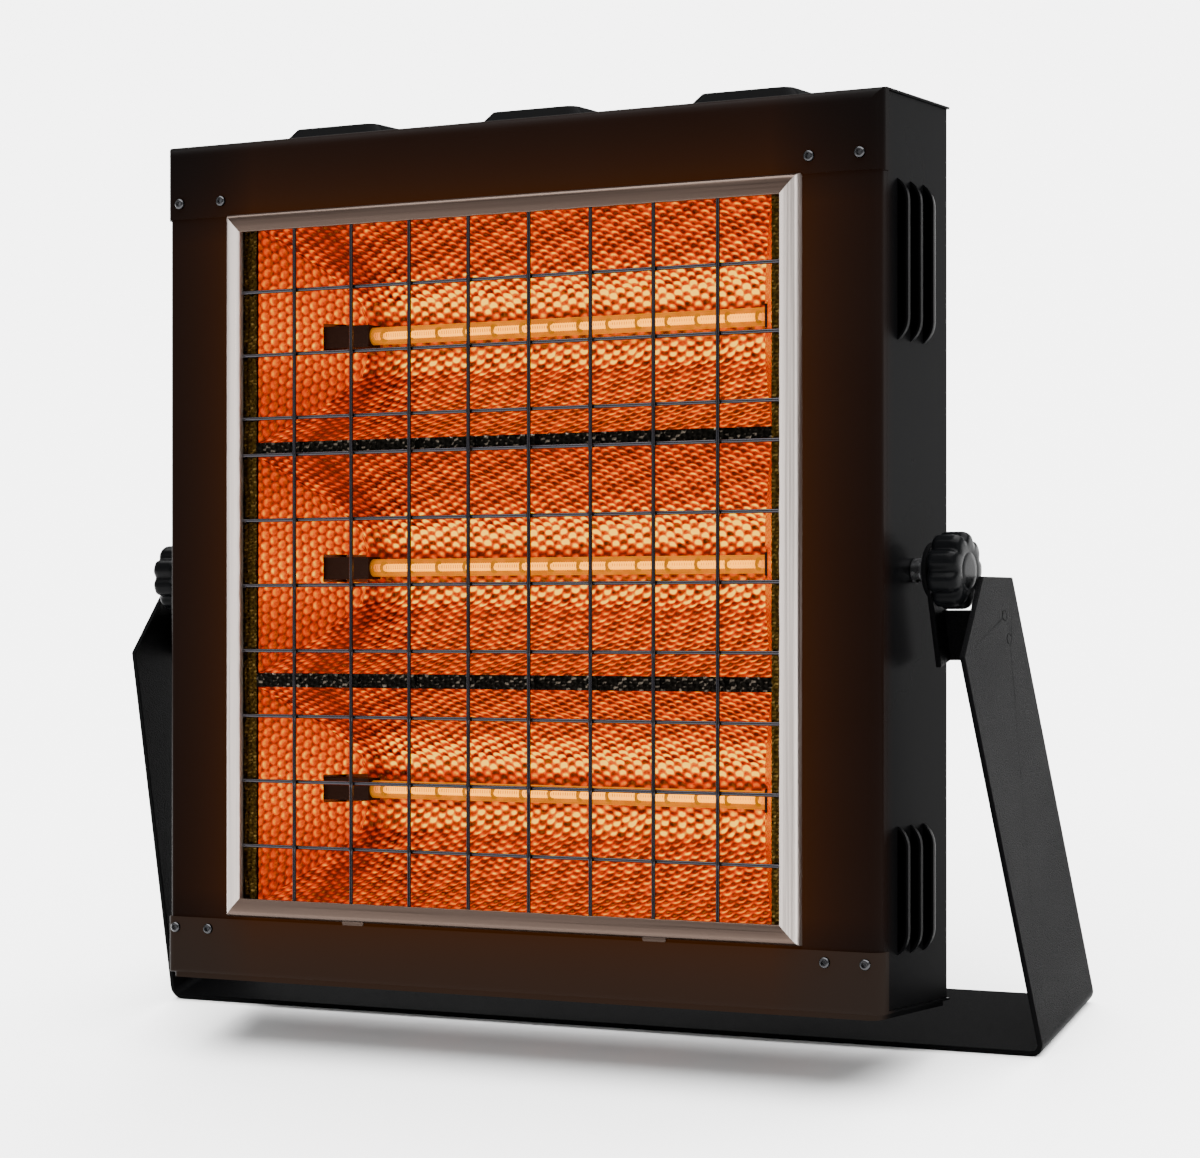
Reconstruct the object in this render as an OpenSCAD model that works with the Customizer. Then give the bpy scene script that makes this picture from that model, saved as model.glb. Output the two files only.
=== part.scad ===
// Three-lamp infrared heater with a reflector window, carried on a bent steel yoke.
// Frame: origin at the centre of the yoke's base plate, on the floor; +X right, +Y back, +Z up.

/* [Heater case] */
// Width of the case across its sides
case_w = 452; // [440:1:470]
// Height of the case
case_h = 480; // [475:1:500]
// Depth of the case from its front face to its back
case_d = 86; // [84:1:92]
// Thickness of the case's sheet steel
sheet_t = 1.2; // [1:0.1:1.5]
// Radius of the front vertical bends of the case
front_bend_r = 6; // [4:0.5:8]
// Depth of the returns folded back at both sides of the front panel
front_return = 10; // [9:0.5:14]

/* [End caps] */
// Height of the top cap's front strip
top_strip_h = 43; // [42:0.5:46]
// Height of the bottom cap's front strip
bottom_strip_h = 35; // [32:0.5:37]
// Radius of the bend between the top cap's strip and its plate
top_bend_r = 9; // [6:0.5:11]
// Height of the lips that the caps fold over the back
cap_lip_h = 16; // [12:1:20]
// Width of one raised vent hood on the top cap
hood_w = 71; // [60:1:80]
// Depth of one vent hood
hood_d = 46; // [40:1:56]
// Height of one vent hood above the top cap
hood_h = 9; // [7:0.5:11]
// Distance between the centres of neighbouring vent hoods
hood_pitch = 132; // [120:1:140]

/* [Side louvres] */
// Height that a louvre stands out from the side
louvre_h = 6; // [4:0.5:7]
// Radius of the rounded back of a louvre
louvre_r = 14; // [12:0.5:16]
// Distance between neighbouring louvres
louvre_pitch = 16; // [15:0.5:18]
// Distance from the front face to the mouth of the first louvre
louvre_y = 23; // [21:1:26]
// Lowest and highest point of the upper louvres
upper_louvres = [351, 435];
// Lowest and highest point of the lower louvres
lower_louvres = [32, 99];

/* [Window and trim] */
// Width of the trim frame's opening
window_w = 343; // [338:1:348]
// Height of the lower edge of the trim frame's opening
window_z0 = 47.5; // [46:0.5:49]
// Height of the upper edge of the trim frame's opening
window_z1 = 427; // [425:0.5:428]
// Outer width of the trim frame
trim_w = 365; // [362:1:368]
// Height of the trim frame's lower outer edge
trim_z0 = 39.5; // [37:0.5:41]
// Height of the trim frame's upper outer edge
trim_z1 = 436.5; // [435:0.5:437]
// Distance that the trim frame stands proud of the front panel
trim_proud = 5.5; // [5:0.25:7]
// Thickness of the trim frame's sheet
trim_t = 1; // [0.8:0.1:1.2]

/* [Guard] */
// Diameter of a guard wire
wire_d = 2.2; // [1.8:0.1:2.2]
// Distance between neighbouring upright wires
upright_pitch = 38.5; // [36:0.5:40]
// Number of upright wires
upright_count = 8; // [6:2:8]
// Height of the lowest cross wire
cross_z = 77.7; // [75:0.1:80]
// Distance between neighbouring cross wires of the lower run
cross_pitch = 37; // [35:0.5:37]
// Number of cross wires in the lower run
cross_count = 7; // [6:1:7]
// Height of the lowest cross wire of the upper run
upper_cross_z = 320.5; // [315:0.5:325]
// Distance between neighbouring cross wires of the upper run
upper_cross_pitch = 36; // [34:0.5:37]
// Number of cross wires in the upper run
upper_cross_count = 3; // [2:1:3]

/* [Reflectors and lamps] */
// Heights of the lower, middle and upper lamp
lamp_z = [109, 236, 369];
// Distance between the centres of neighbouring reflectors
reflector_pitch = 131; // [130:0.5:132]
// Height of the middle reflector's centre
reflector_z = 237.5; // [236:0.5:239]
// Height of a dark divider strip between two reflectors
divider_h = 8; // [6:0.5:10]
// Half the width of a reflector at its mouth
mouth_x = 164; // [160:1:166]
// Half the width of a reflector at its back
back_x = 129; // [126:1:132]
// Depth of a reflector behind the front face
reflector_depth = 63; // [60:0.5:63]
// Depth of the lamps' axes behind the front face
lamp_y = 47; // [45:0.5:48]
// Outer diameter of a lamp's quartz tube
tube_d = 10; // [9:0.5:11]
// Half the length of a quartz tube
tube_x = 137; // [134:1:138]
// Distance of the lamps' middle from the middle of the case
lamp_x = 13; // [10:1:15]
// Distance between neighbouring supports of a filament
support_pitch = 18.5; // [16:0.5:22]

/* [Yoke] */
// Width of the yoke's steel strip
strip_w = 77; // [72:1:82]
// Thickness of the yoke's strip
strip_t = 3; // [2.5:0.5:4]
// Height of the tilt axis above the floor
pivot_h = 255; // [254:1:262]
// Distance from the case's side to the yoke's outer face at the floor
yoke_gap = 58; // [54:1:62]
// Distance from the case's side to the yoke's outer face at the tilt axis
yoke_top_gap = 37; // [36.5:0.5:40]
// Inner radius of the yoke's two bends
yoke_bend_r = 4; // [3:0.5:6]
// Radius of the holes in the yoke's base
base_hole_r = 5.5; // [4:0.25:6]
// Distance between the holes in the yoke's base
base_hole_pitch = 240; // [160:5:300]
// Backward tilt of the heater as it is shown
tilt = 16.75; // [10:0.25:20]

/* [Pivots and knobs] */
// Distance of the tilt axis behind the case's front face
pivot_y = 44.4; // [42:0.2:46]
// Height of the tilt axis above the case's bottom
pivot_z = 231.6; // [228:0.2:236]
// Diameter of the pivot studs
stud_d = 8; // [8:1:8]
// Distance from the case's side to the inner face of a pivot lug
lug_gap = 10; // [10:0.5:11]
// Thickness of a pivot bracket
lug_t = 3; // [2.5:0.5:3]
// Radius of the rounded end of a pivot lug
lug_r = 15; // [13:0.5:16]
// Outer diameter of a clamp knob
knob_d = 41; // [38:1:42]
// Length of a clamp knob's lobed head
knob_l = 17; // [15:0.5:17]
// Number of lobes on a clamp knob
knob_lobes = 9; // [7:1:10]

/* [Connection box] */
// Width of the connection box on the back
box_w = 112; // [100:1:130]
// Height of the connection box
box_h = 84; // [76:1:90]
// Depth of the connection box behind the case
box_d = 24; // [22:1:26]
// Distance of the box's centre from the middle of the case
box_x = 120; // [100:1:140]
// Height of the box's lower side above the case's bottom
box_z = 52; // [48:1:60]
// Radius of the cable passage through the gland
gland_r = 5; // [4:0.25:5.5]

/* [Hidden] */
$fn = 48;

eps = 0.01;
// Flat steps that make up each bend of the yoke
bend_steps = 14;
black = "#17181a";
graphite = "#2b2c2e";
steel = "#b9b4ad";
gold = "#d89a4a";

side_x = case_w / 2;
lamps = [0:len(lamp_z) - 1];

// The yoke's outer face leans inwards by this angle.
yoke_foot_x = side_x + yoke_gap;
lean = atan((yoke_gap - yoke_top_gap) / pivot_h);
arm_len = pivot_h * 1.02;
// Distance from the yoke's outer corner to where its bend meets the plate or the arm.
bend_run = (yoke_bend_r + strip_t) * (1 + sin(lean)) / cos(lean);

// Top of an arm seen from the side: its highest corner, the slope behind it and the clipped front corner.
arm_top_front = [2.5, pivot_h - 4];
arm_top_back = [strip_w / 2, arm_top_front[1] - (strip_w / 2 - arm_top_front[0]) * tan(tilt)];
arm_clip_z = pivot_h - 35;

web_y = 3;
web_z0 = pivot_h - 50;
web_z1 = pivot_h - 23;
flange_y = 30;
rivet_y = 19;
rivet_z = [pivot_h - 43, pivot_h - 30];
rivet_r = 2.5;

bore_play = 0.08;
washer_t = 1.8;
collar_r = 6.5;
stud_tip = 26.8;
hub_gap = 0.3;
knob_gap = lug_gap + lug_t + hub_gap;
knob_hub_l = 1.2;
insert_r = 6;
insert_l = 14;

// Half of a reflector's outline: height from its centre, depth behind the front face.
facets = [[61.5, 2.2], [40, 37], [30, 50], [21, 60], [9, reflector_depth], [0, reflector_depth - 3]];
reflector_t = 0.8;
surround_y = 1.4;
surround_w = 392;
end_slope = (mouth_x - back_x) / (reflector_depth - surround_y);

tube_seal_l = 10;
ceramic_l = 36;
ceramic_h = 12.6;
ceramic_d = 10.5;
ceramic_x0 = tube_x - tube_seal_l;
rail_x = ceramic_x0 + ceramic_l + 0.2;
rail_t = 1.5;
lead_r = 1.6;
lead_x = rail_x + 26;
lead_y = [40, 47, 54];
// Heights at which the left and right leads turn inwards, below and above the grommet
lead_z = [[92, 98, 104], [128, 134, 140]];
lead_back_y = 76;
lead_column = 3.3;
shield_y = reflector_depth + 3.5;

guard_y = -trim_proud + trim_t + wire_d / 2;
cross_y = guard_y + wire_d - 0.1;
guard_edge_x = window_w / 2 + 4;
guard_z0 = window_z0 - 3.5;
guard_z1 = window_z1 + 3.5;

// The bottom cap's floor stands this much above its foot ring.
foot_h = 3;
cap_floor_z = foot_h + sheet_t;
bottom_bend_r = 2.5;

screw_z_top = 446;
screw_z_bottom = 29;
screw_x_top = [187, 216];
screw_x_bottom = [196, 219];

box_screw_x = [box_x - box_w / 2 + 8, box_x + box_w / 2 - 8];
box_screw_z = [box_z + 8, box_z + box_h - 8];
gland_z = box_z + 14;

grommet_x = box_x;
grommet_z = box_z + box_h - 20;
grommet_r = 5.6;

function reversed(list) = [for (i = [len(list) - 1:-1:0]) list[i]];

// Places its children, drawn in the case's own upright frame, at the tilted rest pose.
module heater_frame() {
  translate([0, 0, pivot_h]) rotate([-tilt, 0, 0]) translate([0, -pivot_y, -pivot_z]) children();
}

// Draws its children once as they are and once mirrored to the other side.
module both_sides() {
  children();
  mirror([1, 0, 0]) children();
}

// A cylinder along +X from the given point.
module x_rod(at, r, l, sides = 48) {
  translate(at) rotate([0, 90, 0]) cylinder(r = r, h = l, $fn = sides);
}

// A cylinder along +Y from the given point.
module y_rod(at, r, l, sides = 48) {
  translate(at) rotate([-90, 0, 0]) cylinder(r = r, h = l, $fn = sides);
}

// A rectangle with rounded corners, centred on X and starting at y = 0.
module rounded_plate(w, d, r) {
  translate([-w / 2 + r, 0]) square([w - 2 * r, d]);
  translate([-w / 2, r]) square([w, d - 2 * r]);
  for (x = [-1, 1], y = [r, d - r]) translate([x * (w / 2 - r), y]) circle(r);
}

// Outline of the case seen from above: square at the back and rounded at the front.
module case_outline(w, d, r) {
  translate([-w / 2, r]) square([w, d - r]);
  translate([-w / 2 + r, 0]) square([w - 2 * r, r + eps]);
  for (x = [-1, 1]) translate([x * (w / 2 - r), r]) intersection() {
    circle(r);
    translate([-r, -r]) square([2 * r, r + eps]);
  }
}

// ---- yoke ----

// A slab parallel to the right arm, measured inwards from the arm's outer face.
module arm_slab(inset, t, y0, y1, z0 = 0) {
  translate([yoke_foot_x, 0, 0]) rotate([0, -lean, 0])
    translate([-inset - t, y0, z0]) cube([t, y1 - y0, arm_len - z0]);
}

// Side view of the yoke, as a solid that trims the bent strip.
module yoke_side_view() {
  half = strip_w / 2;
  reach = yoke_foot_x + 20;
  translate([-reach, 0, 0]) rotate([90, 0, 90]) linear_extrude(2 * reach)
    polygon([[-half, -1], [half, -1], arm_top_back, arm_top_front, [-half, arm_clip_z]]);
}

// One face of the strip from the middle of the base up the right arm, at this distance from the outer face.
function strip_face(inset) =
  let (centre = [yoke_foot_x - bend_run, yoke_bend_r + strip_t], r = yoke_bend_r + strip_t - inset)
  concat(
    [for (i = [0:bend_steps])
      let (a = -90 + (90 + lean) * i / bend_steps) centre + r * [cos(a), sin(a)]],
    [centre + r * [cos(lean), sin(lean)] + arm_len * [-sin(lean), cos(lean)]]
  );

function mirrored(points) = [for (p = points) [-p[0], p[1]]];

module yoke() {
  outer = strip_face(0);
  inner = strip_face(strip_t);
  color(graphite) difference() {
    intersection() {
      translate([0, strip_w / 2 + 1, 0]) rotate([90, 0, 0]) linear_extrude(strip_w + 2)
        polygon(concat(outer, reversed(inner), mirrored(inner), reversed(mirrored(outer))));
      yoke_side_view();
    }
    for (x = [-1, 1]) translate([x * base_hole_pitch / 2, 0, -1])
      cylinder(r = base_hole_r, h = strip_t + 2);
    both_sides() for (z = rivet_z) translate([side_x + yoke_top_gap - 8, rivet_y, z])
      rotate([0, 90, 0]) cylinder(r = rivet_r, h = 24);
  }
}

// The right pivot bracket: a lug beside the case, a web facing forwards, and a flange on the arm.
module pivot_bracket() {
  lug_x = side_x + lug_gap;
  difference() {
    union() {
      x_rod([lug_x, 0, pivot_h], lug_r, lug_t);
      translate([lug_x, -10, web_z0]) cube([lug_t, web_y + lug_t + 10, pivot_h - web_z0]);
      translate([lug_x, web_y, web_z0]) cube([yoke_top_gap, lug_t, web_z1 - web_z0]);
      intersection() {
        arm_slab(strip_t, lug_t, web_y, flange_y);
        translate([lug_x, web_y, web_z0]) cube([60, flange_y - web_y, web_z1 - web_z0]);
      }
    }
    x_rod([lug_x - 1, 0, pivot_h], stud_d / 2 + bore_play, lug_t + 2);
    arm_slab(-60, 60 + strip_t, -strip_w, strip_w);
    for (z = rivet_z) x_rod([side_x + lug_gap + lug_t + 2, rivet_y, z], rivet_r, 60);
  }
}

module left_pivot_bracket() {
  color(graphite) mirror([1, 0, 0]) pivot_bracket();
}

module right_pivot_bracket() {
  color(graphite) pivot_bracket();
}

// Flush rivets through the arms and the brackets' flanges.
module bracket_rivets() {
  color(steel) both_sides() for (z = rivet_z) intersection() {
    x_rod([side_x + lug_gap + lug_t + 2, rivet_y, z], rivet_r, 60, 32);
    arm_slab(0, strip_t + lug_t + 1, -strip_w, strip_w);
  }
}

// ---- case ----

// A capsule along Z that stands out of the right side by the louvre's height.
module louvre_capsule(r, y, z0, z1) {
  run = sqrt(louvre_r * louvre_r - pow(louvre_r - louvre_h, 2));
  x = side_x + louvre_h - louvre_r;
  translate([x, y, z0 + run]) cylinder(r = r, h = z1 - z0 - 2 * run);
  for (z = [z0 + run, z1 - run]) translate([x, y, z]) sphere(r);
}

module louvre_skin(y, z0, z1) {
  intersection() {
    louvre_capsule(louvre_r, y, z0, z1);
    translate([side_x - sheet_t, y, z0 - 5]) cube([20, 20, z1 - z0 + 10]);
  }
}

module louvre_hollow(y, z0, z1) {
  intersection() {
    louvre_capsule(louvre_r - sheet_t, y, z0, z1);
    translate([side_x - 2 * sheet_t, y - eps, z0 - 5]) cube([20, 20, z1 - z0 + 10]);
  }
}

module for_each_louvre() {
  for (i = [0:2], g = [upper_louvres, lower_louvres]) {
    $y = louvre_y + i * louvre_pitch;
    $z0 = g[0];
    $z1 = g[1];
    children();
  }
}

// Back and sides in one folded sheet, with pressed louvres on both sides.
module rear_casing() {
  inner_w = case_w - 2 * sheet_t;
  color(black) difference() {
    union() {
      difference() {
        translate([-side_x, front_return + 0.2, cap_floor_z + 0.05])
          cube([case_w, case_d - front_return - 0.2, case_h - sheet_t - cap_floor_z - 0.1]);
        translate([-inner_w / 2, 0, 0]) cube([inner_w, case_d - sheet_t, case_h]);
      }
      both_sides() for_each_louvre() louvre_skin($y, $z0, $z1);
    }
    both_sides() for_each_louvre() louvre_hollow($y, $z0, $z1);
    both_sides() x_rod([side_x - 5, pivot_y, pivot_z], stud_d / 2 + 0.2, 10);
    y_rod([grommet_x, case_d - 5, grommet_z], grommet_r + 2, 10);
    for (x = box_screw_x, z = box_screw_z) y_rod([x, case_d - 5, z], 1.7, 10, 24);
  }
}

// Front face with the window opening and two short folded returns.
module front_panel() {
  z0 = cap_floor_z + bottom_bend_r;
  color(black) difference() {
    translate([0, 0, z0]) linear_extrude(case_h - top_bend_r - z0) difference() {
      case_outline(case_w, front_return, front_bend_r);
      translate([0, sheet_t]) case_outline(case_w - 2 * sheet_t, front_return, front_bend_r - sheet_t);
    }
    translate([-window_w / 2 - 6, -1, window_z0 - 5])
      cube([window_w + 12, sheet_t + 2, window_z1 - window_z0 + 10]);
    for (x = screw_x_top, s = [-1, 1]) y_rod([s * x, -5, screw_z_top], 1.6, 10, 24);
    for (x = screw_x_bottom, s = [-1, 1]) y_rod([s * x, -5, screw_z_bottom], 1.6, 10, 24);
  }
}

// Solid from which a cap is hollowed: the case's outline from above and a rounded edge from the side.
module cap_block(grow, z0, z1, edge_r) {
  w = case_w + 2 * grow;
  d = case_d + 2 * grow;
  intersection() {
    translate([0, -grow, z0]) linear_extrude(z1 - z0) case_outline(w, d, front_bend_r + grow);
    translate([-w / 2, 0, 0]) rotate([90, 0, 90]) linear_extrude(w) {
      translate([-grow, z0]) square([d, z1 - z0 - edge_r]);
      translate([-grow + edge_r, z1 - edge_r - eps]) square([d - edge_r, edge_r + eps]);
      translate([-grow + edge_r, z1 - edge_r]) circle(edge_r);
    }
  }
}

module top_cap() {
  z0 = case_h - top_strip_h;
  color(black) difference() {
    cap_block(sheet_t, z0, case_h, top_bend_r);
    cap_block(0, z0 - 1, case_h - sheet_t, top_bend_r - sheet_t);
    for (s = [-1, 1]) translate([s * (side_x + sheet_t) - 3, front_return, z0 - 1]) {
      cube([6, case_d, top_strip_h - sheet_t + 1]);
    }
    translate([-case_w, case_d - eps, z0 - 1]) cube([2 * case_w, 5, top_strip_h - cap_lip_h + 1]);
    for (x = screw_x_top, s = [-1, 1]) y_rod([s * x, -5, screw_z_top], 2, 10, 24);
    for (i = [-1:1]) translate([i * hood_pitch, pivot_y + 4, case_h - 5])
      linear_extrude(10) translate([0, -hood_d / 2 + 9]) rounded_plate(hood_w - 18, hood_d - 18, 6);
  }
}

// The bottom cap: its strip stops a step above the case's foot, which is a narrow ring set back under it.
module bottom_cap() {
  inset = 1.5;
  color(black) difference() {
    union() {
      difference() {
        translate([0, 0, bottom_strip_h]) mirror([0, 0, 1])
          cap_block(sheet_t, 0, bottom_strip_h - foot_h, bottom_bend_r);
        translate([0, 0, bottom_strip_h + 1]) mirror([0, 0, 1])
          cap_block(0, 0, bottom_strip_h + 1 - cap_floor_z, bottom_bend_r - sheet_t);
      }
      linear_extrude(foot_h + eps) difference() {
        translate([0, inset]) case_outline(case_w - 2 * inset, case_d - 2 * inset, front_bend_r);
        translate([0, 2 * inset])
          case_outline(case_w - 4 * inset, case_d - 4 * inset, front_bend_r - inset);
      }
    }
    for (s = [-1, 1]) translate([s * (side_x + sheet_t) - 3, front_return, cap_floor_z])
      cube([6, case_d, bottom_strip_h]);
    translate([-case_w, case_d - eps, cap_lip_h]) cube([2 * case_w, 5, bottom_strip_h]);
    for (x = screw_x_bottom, s = [-1, 1]) y_rod([s * x, -5, screw_z_bottom], 2, 10, 24);
    for (i = [-2:2]) translate([i * 70, case_d / 2 - 3, -1]) linear_extrude(8) rounded_plate(40, 6, 2.9);
  }
}

// One vent hood: a low pressed dome that is open at its back.
module vent_hood(w, d, h) {
  hull() {
    linear_extrude(0.6) translate([0, -d / 2]) rounded_plate(w, d, 9, $fn = 32);
    linear_extrude(h) translate([0, -d / 2 + 6]) rounded_plate(w - 16, d - 12, 6, $fn = 32);
  }
}

module vent_hoods() {
  color(black) for (i = [-1:1]) translate([i * hood_pitch, pivot_y + 4, case_h]) difference() {
    vent_hood(hood_w, hood_d, hood_h);
    translate([0, 0, -eps]) vent_hood(hood_w - 2 * sheet_t, hood_d - 2 * sheet_t, hood_h - sheet_t);
    translate([-hood_w / 2 + 12, hood_d / 2 - 8, 1.5]) cube([hood_w - 24, 12, hood_h - 4]);
  }
}

// A pan-head screw along Y with a hexagon socket, its head towards -Y.
module face_screw(head_r, head_l, shank_r, shank_l) {
  difference() {
    union() {
      y_rod([0, -head_l, 0], head_r, head_l, 32);
      y_rod([0, -eps, 0], shank_r, shank_l, 24);
    }
    y_rod([0, -head_l - 1, 0], head_r * 0.5, head_l * 0.6 + 1, 6);
  }
}

module cap_screws() {
  color(steel) {
    for (x = screw_x_top, s = [-1, 1]) translate([s * x, -sheet_t, screw_z_top])
      face_screw(3, 1.9, 1.6, 9);
    for (x = screw_x_bottom, s = [-1, 1]) translate([s * x, -sheet_t, screw_z_bottom])
      face_screw(3, 1.9, 1.6, 9);
  }
}

// ---- window ----

module trim_frame() {
  w = trim_w;
  h = trim_z1 - trim_z0;
  tab_x = 96;
  color(steel) {
    difference() {
      translate([-w / 2, -trim_proud, trim_z0]) cube([w, trim_proud - 0.05, h]);
      translate([-w / 2 + trim_t, -trim_proud + trim_t, trim_z0 + trim_t])
        cube([w - 2 * trim_t, trim_proud, h - 2 * trim_t]);
      translate([-window_w / 2, -trim_proud - 1, window_z0])
        cube([window_w, trim_proud + 2, window_z1 - window_z0]);
    }
    for (s = [-1, 1]) translate([s * tab_x - 7, -2.4, bottom_strip_h + 0.2])
      cube([14, 1, trim_z0 - bottom_strip_h + 1]);
  }
}

function cross_heights() = concat(
  [for (i = [0:cross_count - 1]) cross_z + i * cross_pitch],
  [for (i = [0:upper_cross_count - 1]) upper_cross_z + i * upper_cross_pitch]
);

// Welded wire mesh with a border wire that the trim frame hides.
module wire_guard() {
  r = wire_d / 2;
  color(graphite) {
    for (i = [0:upright_count - 1])
      translate([(i - (upright_count - 1) / 2) * upright_pitch, guard_y, guard_z0])
        cylinder(r = r, h = guard_z1 - guard_z0, $fn = 16);
    for (z = cross_heights()) x_rod([-guard_edge_x, cross_y, z], r, 2 * guard_edge_x, 16);
    for (x = [-1, 1]) translate([x * guard_edge_x, guard_y + 0.6, guard_z0])
      cylinder(r = r, h = guard_z1 - guard_z0, $fn = 16);
    for (z = [guard_z0, guard_z1]) x_rod([-guard_edge_x, guard_y + 0.6, z], r, 2 * guard_edge_x, 16);
    for (x = [-1, 1], z = [guard_z0, guard_z1]) translate([x * guard_edge_x, guard_y + 0.6, z])
      sphere(r, $fn = 16);
  }
}

// ---- reflectors ----

// Full outline of a reflector's inside, as depth and height from its centre.
function reflector_line(back) = concat(
  [for (p = facets) [p[1] + back, p[0]]],
  [for (i = [len(facets) - 2:-1:0]) [facets[i][1] + back, -facets[i][0]]]
);

// Extrudes a side view, drawn as depth and height, across the heater's width.
module across(w) {
  translate([-w / 2, 0, 0]) rotate([90, 0, 90]) linear_extrude(w) children();
}

// The wedge between the two sloping end panels.
module between_ends(inset) {
  deep = reflector_depth + 5;
  front_x = mouth_x - inset;
  deep_x = back_x - inset - end_slope * 5;
  translate([0, 0, -80]) linear_extrude(160) polygon([
    [-front_x, surround_y], [front_x, surround_y], [deep_x, deep], [-deep_x, deep]
  ]);
}

// One trough of folded sheet, cut off along both end panels.
module trough() {
  intersection() {
    across(2 * mouth_x) polygon(concat(reflector_line(0), reversed(reflector_line(reflector_t))));
    between_ends(0.05);
  }
}

module lower_reflector() {
  color(gold) translate([0, 0, reflector_z - reflector_pitch]) trough();
}

module middle_reflector() {
  color(gold) translate([0, 0, reflector_z]) trough();
}

module upper_reflector() {
  color(gold) translate([0, 0, reflector_z + reflector_pitch]) trough();
}

// The three sloping end panels on one side, each with a slot for its lamp.
module reflector_ends() {
  for (i = lamps) difference() {
    translate([0, 0, reflector_z + (i - 1) * reflector_pitch]) intersection() {
      across(2 * mouth_x + 4) polygon(reflector_line(0));
      translate([0, 0, -80]) linear_extrude(160) polygon([
        [mouth_x, surround_y], [mouth_x + reflector_t, surround_y],
        [back_x + reflector_t, reflector_depth], [back_x, reflector_depth]
      ]);
    }
    translate([back_x - 20, lamp_y - 9, lamp_z[i] - 8]) cube([50, 60, 16]);
  }
}

module left_reflector_ends() {
  color(gold) mirror([1, 0, 0]) reflector_ends();
}

module right_reflector_ends() {
  color(gold) reflector_ends();
}

// Flat plate behind the guard with a mouth for each reflector.
module reflector_surround() {
  mouth_h = reflector_pitch - divider_h;
  color(graphite) difference() {
    translate([-surround_w / 2, surround_y, trim_z0 - 3])
      cube([surround_w, reflector_t, trim_z1 - trim_z0 + 6]);
    for (i = [-1:1]) translate([-mouth_x, 0, reflector_z + i * reflector_pitch - mouth_h / 2])
      cube([2 * mouth_x, 5, mouth_h]);
  }
}

// ---- lamps ----

module lamp_tube(i) {
  at = [lamp_x, lamp_y, lamp_z[i]];
  color("orange", 0.6) difference() {
    x_rod(at - [tube_x, 0, 0], tube_d / 2, 2 * tube_x);
    x_rod(at - [tube_x - tube_seal_l, 0, 0], tube_d / 2 - 1, 2 * (tube_x - tube_seal_l));
  }
}

// A coiled filament shown as a thin rod, with round supports along it.
module filament(i) {
  half = tube_x - tube_seal_l;
  count = floor(2 * half / support_pitch);
  support_t = 1;
  color("yellow") {
    x_rod([lamp_x - half, lamp_y, lamp_z[i]], 1.5, 2 * half, 24);
    for (k = [0:count]) {
      x = lamp_x + (k - count / 2) * support_pitch - support_t / 2;
      x_rod([x, lamp_y, lamp_z[i]], tube_d / 2 - 1.2, support_t, 24);
    }
  }
}

module lower_lamp_tube() {
  lamp_tube(0);
}

module middle_lamp_tube() {
  lamp_tube(1);
}

module upper_lamp_tube() {
  lamp_tube(2);
}

module lower_filament() {
  filament(0);
}

module middle_filament() {
  filament(1);
}

module upper_filament() {
  filament(2);
}

// Ceramic ends that hold the tubes, two to a lamp.
module lamp_ceramics() {
  color("#c9b79c") translate([lamp_x, 0, 0]) both_sides() for (z = lamp_z) difference() {
    translate([ceramic_x0, lamp_y - ceramic_d / 2 - 1, z - ceramic_h / 2])
      cube([ceramic_l, ceramic_d + 2, ceramic_h]);
    x_rod([ceramic_x0 - 1, lamp_y, z], tube_d / 2 + 0.1, tube_x - ceramic_x0 + 1);
    x_rod([ceramic_x0 + 5, lamp_y, z], lead_r + 0.1, ceramic_l);
  }
}

// Upright rail that carries the three lamp ends on one side.
module lamp_rail() {
  z0 = trim_z0 + 2;
  h = trim_z1 - trim_z0 - 4;
  difference() {
    union() {
      translate([rail_x, 30, z0]) cube([rail_t, case_d - sheet_t - 30.2, h]);
      translate([rail_x, case_d - sheet_t - rail_t - 0.2, z0]) cube([18, rail_t, h]);
    }
    for (z = lamp_z) x_rod([rail_x - 1, lamp_y, z], 3.5, 5);
    translate([rail_x - 1, lead_back_y - 5, lead_z[0][0] - 6])
      cube([5, 10, lead_z[1][2] - lead_z[0][0] + 12]);
  }
}

module left_lamp_rail() {
  color(steel) translate([lamp_x, 0, 0]) mirror([1, 0, 0]) lamp_rail();
}

module right_lamp_rail() {
  color(steel) translate([lamp_x, 0, 0]) lamp_rail();
}

// Flat sheet behind the reflectors that keeps their heat off the back.
module heat_shield() {
  color(steel) translate([lamp_x - rail_x + 4, shield_y, trim_z0 + 8])
    cube([2 * rail_x - 8, reflector_t, trim_z1 - trim_z0 - 16]);
}

// A lead that follows straight runs between the points of a path, with square-cut corners.
module lead(path) {
  for (i = [0:len(path) - 2]) {
    step = path[i + 1] - path[i];
    translate(path[i]) rotate([0, acos(step[2] / norm(step)), atan2(step[1], step[0])])
      translate([0, 0, -lead_r * 0.8]) cylinder(r = lead_r, h = norm(step) + lead_r * 1.6, $fn = 6);
  }
}

// Leads from the six lamp ends, through both side channels and across to the grommet in three columns.
module lamp_leads() {
  color("#8c2f1d") for (s = [-1, 1], i = lamps) {
    x = lamp_x + s * lead_x;
    z = lead_z[(s + 1) / 2][i];
    column_x = grommet_x + (1 - i) * lead_column;
    row_z = grommet_z + s * lead_column / 2;
    lead([
      [lamp_x + s * (ceramic_x0 + 20), lamp_y, lamp_z[i]],
      [lamp_x + s * (rail_x + 8), lamp_y, lamp_z[i]],
      [x, lead_y[i], lamp_z[i]], [x, lead_y[i], z], [x, lead_back_y, z],
      [column_x, lead_back_y, z], [column_x, lead_back_y, row_z], [column_x, case_d + 8, row_z]
    ]);
  }
}

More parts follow.
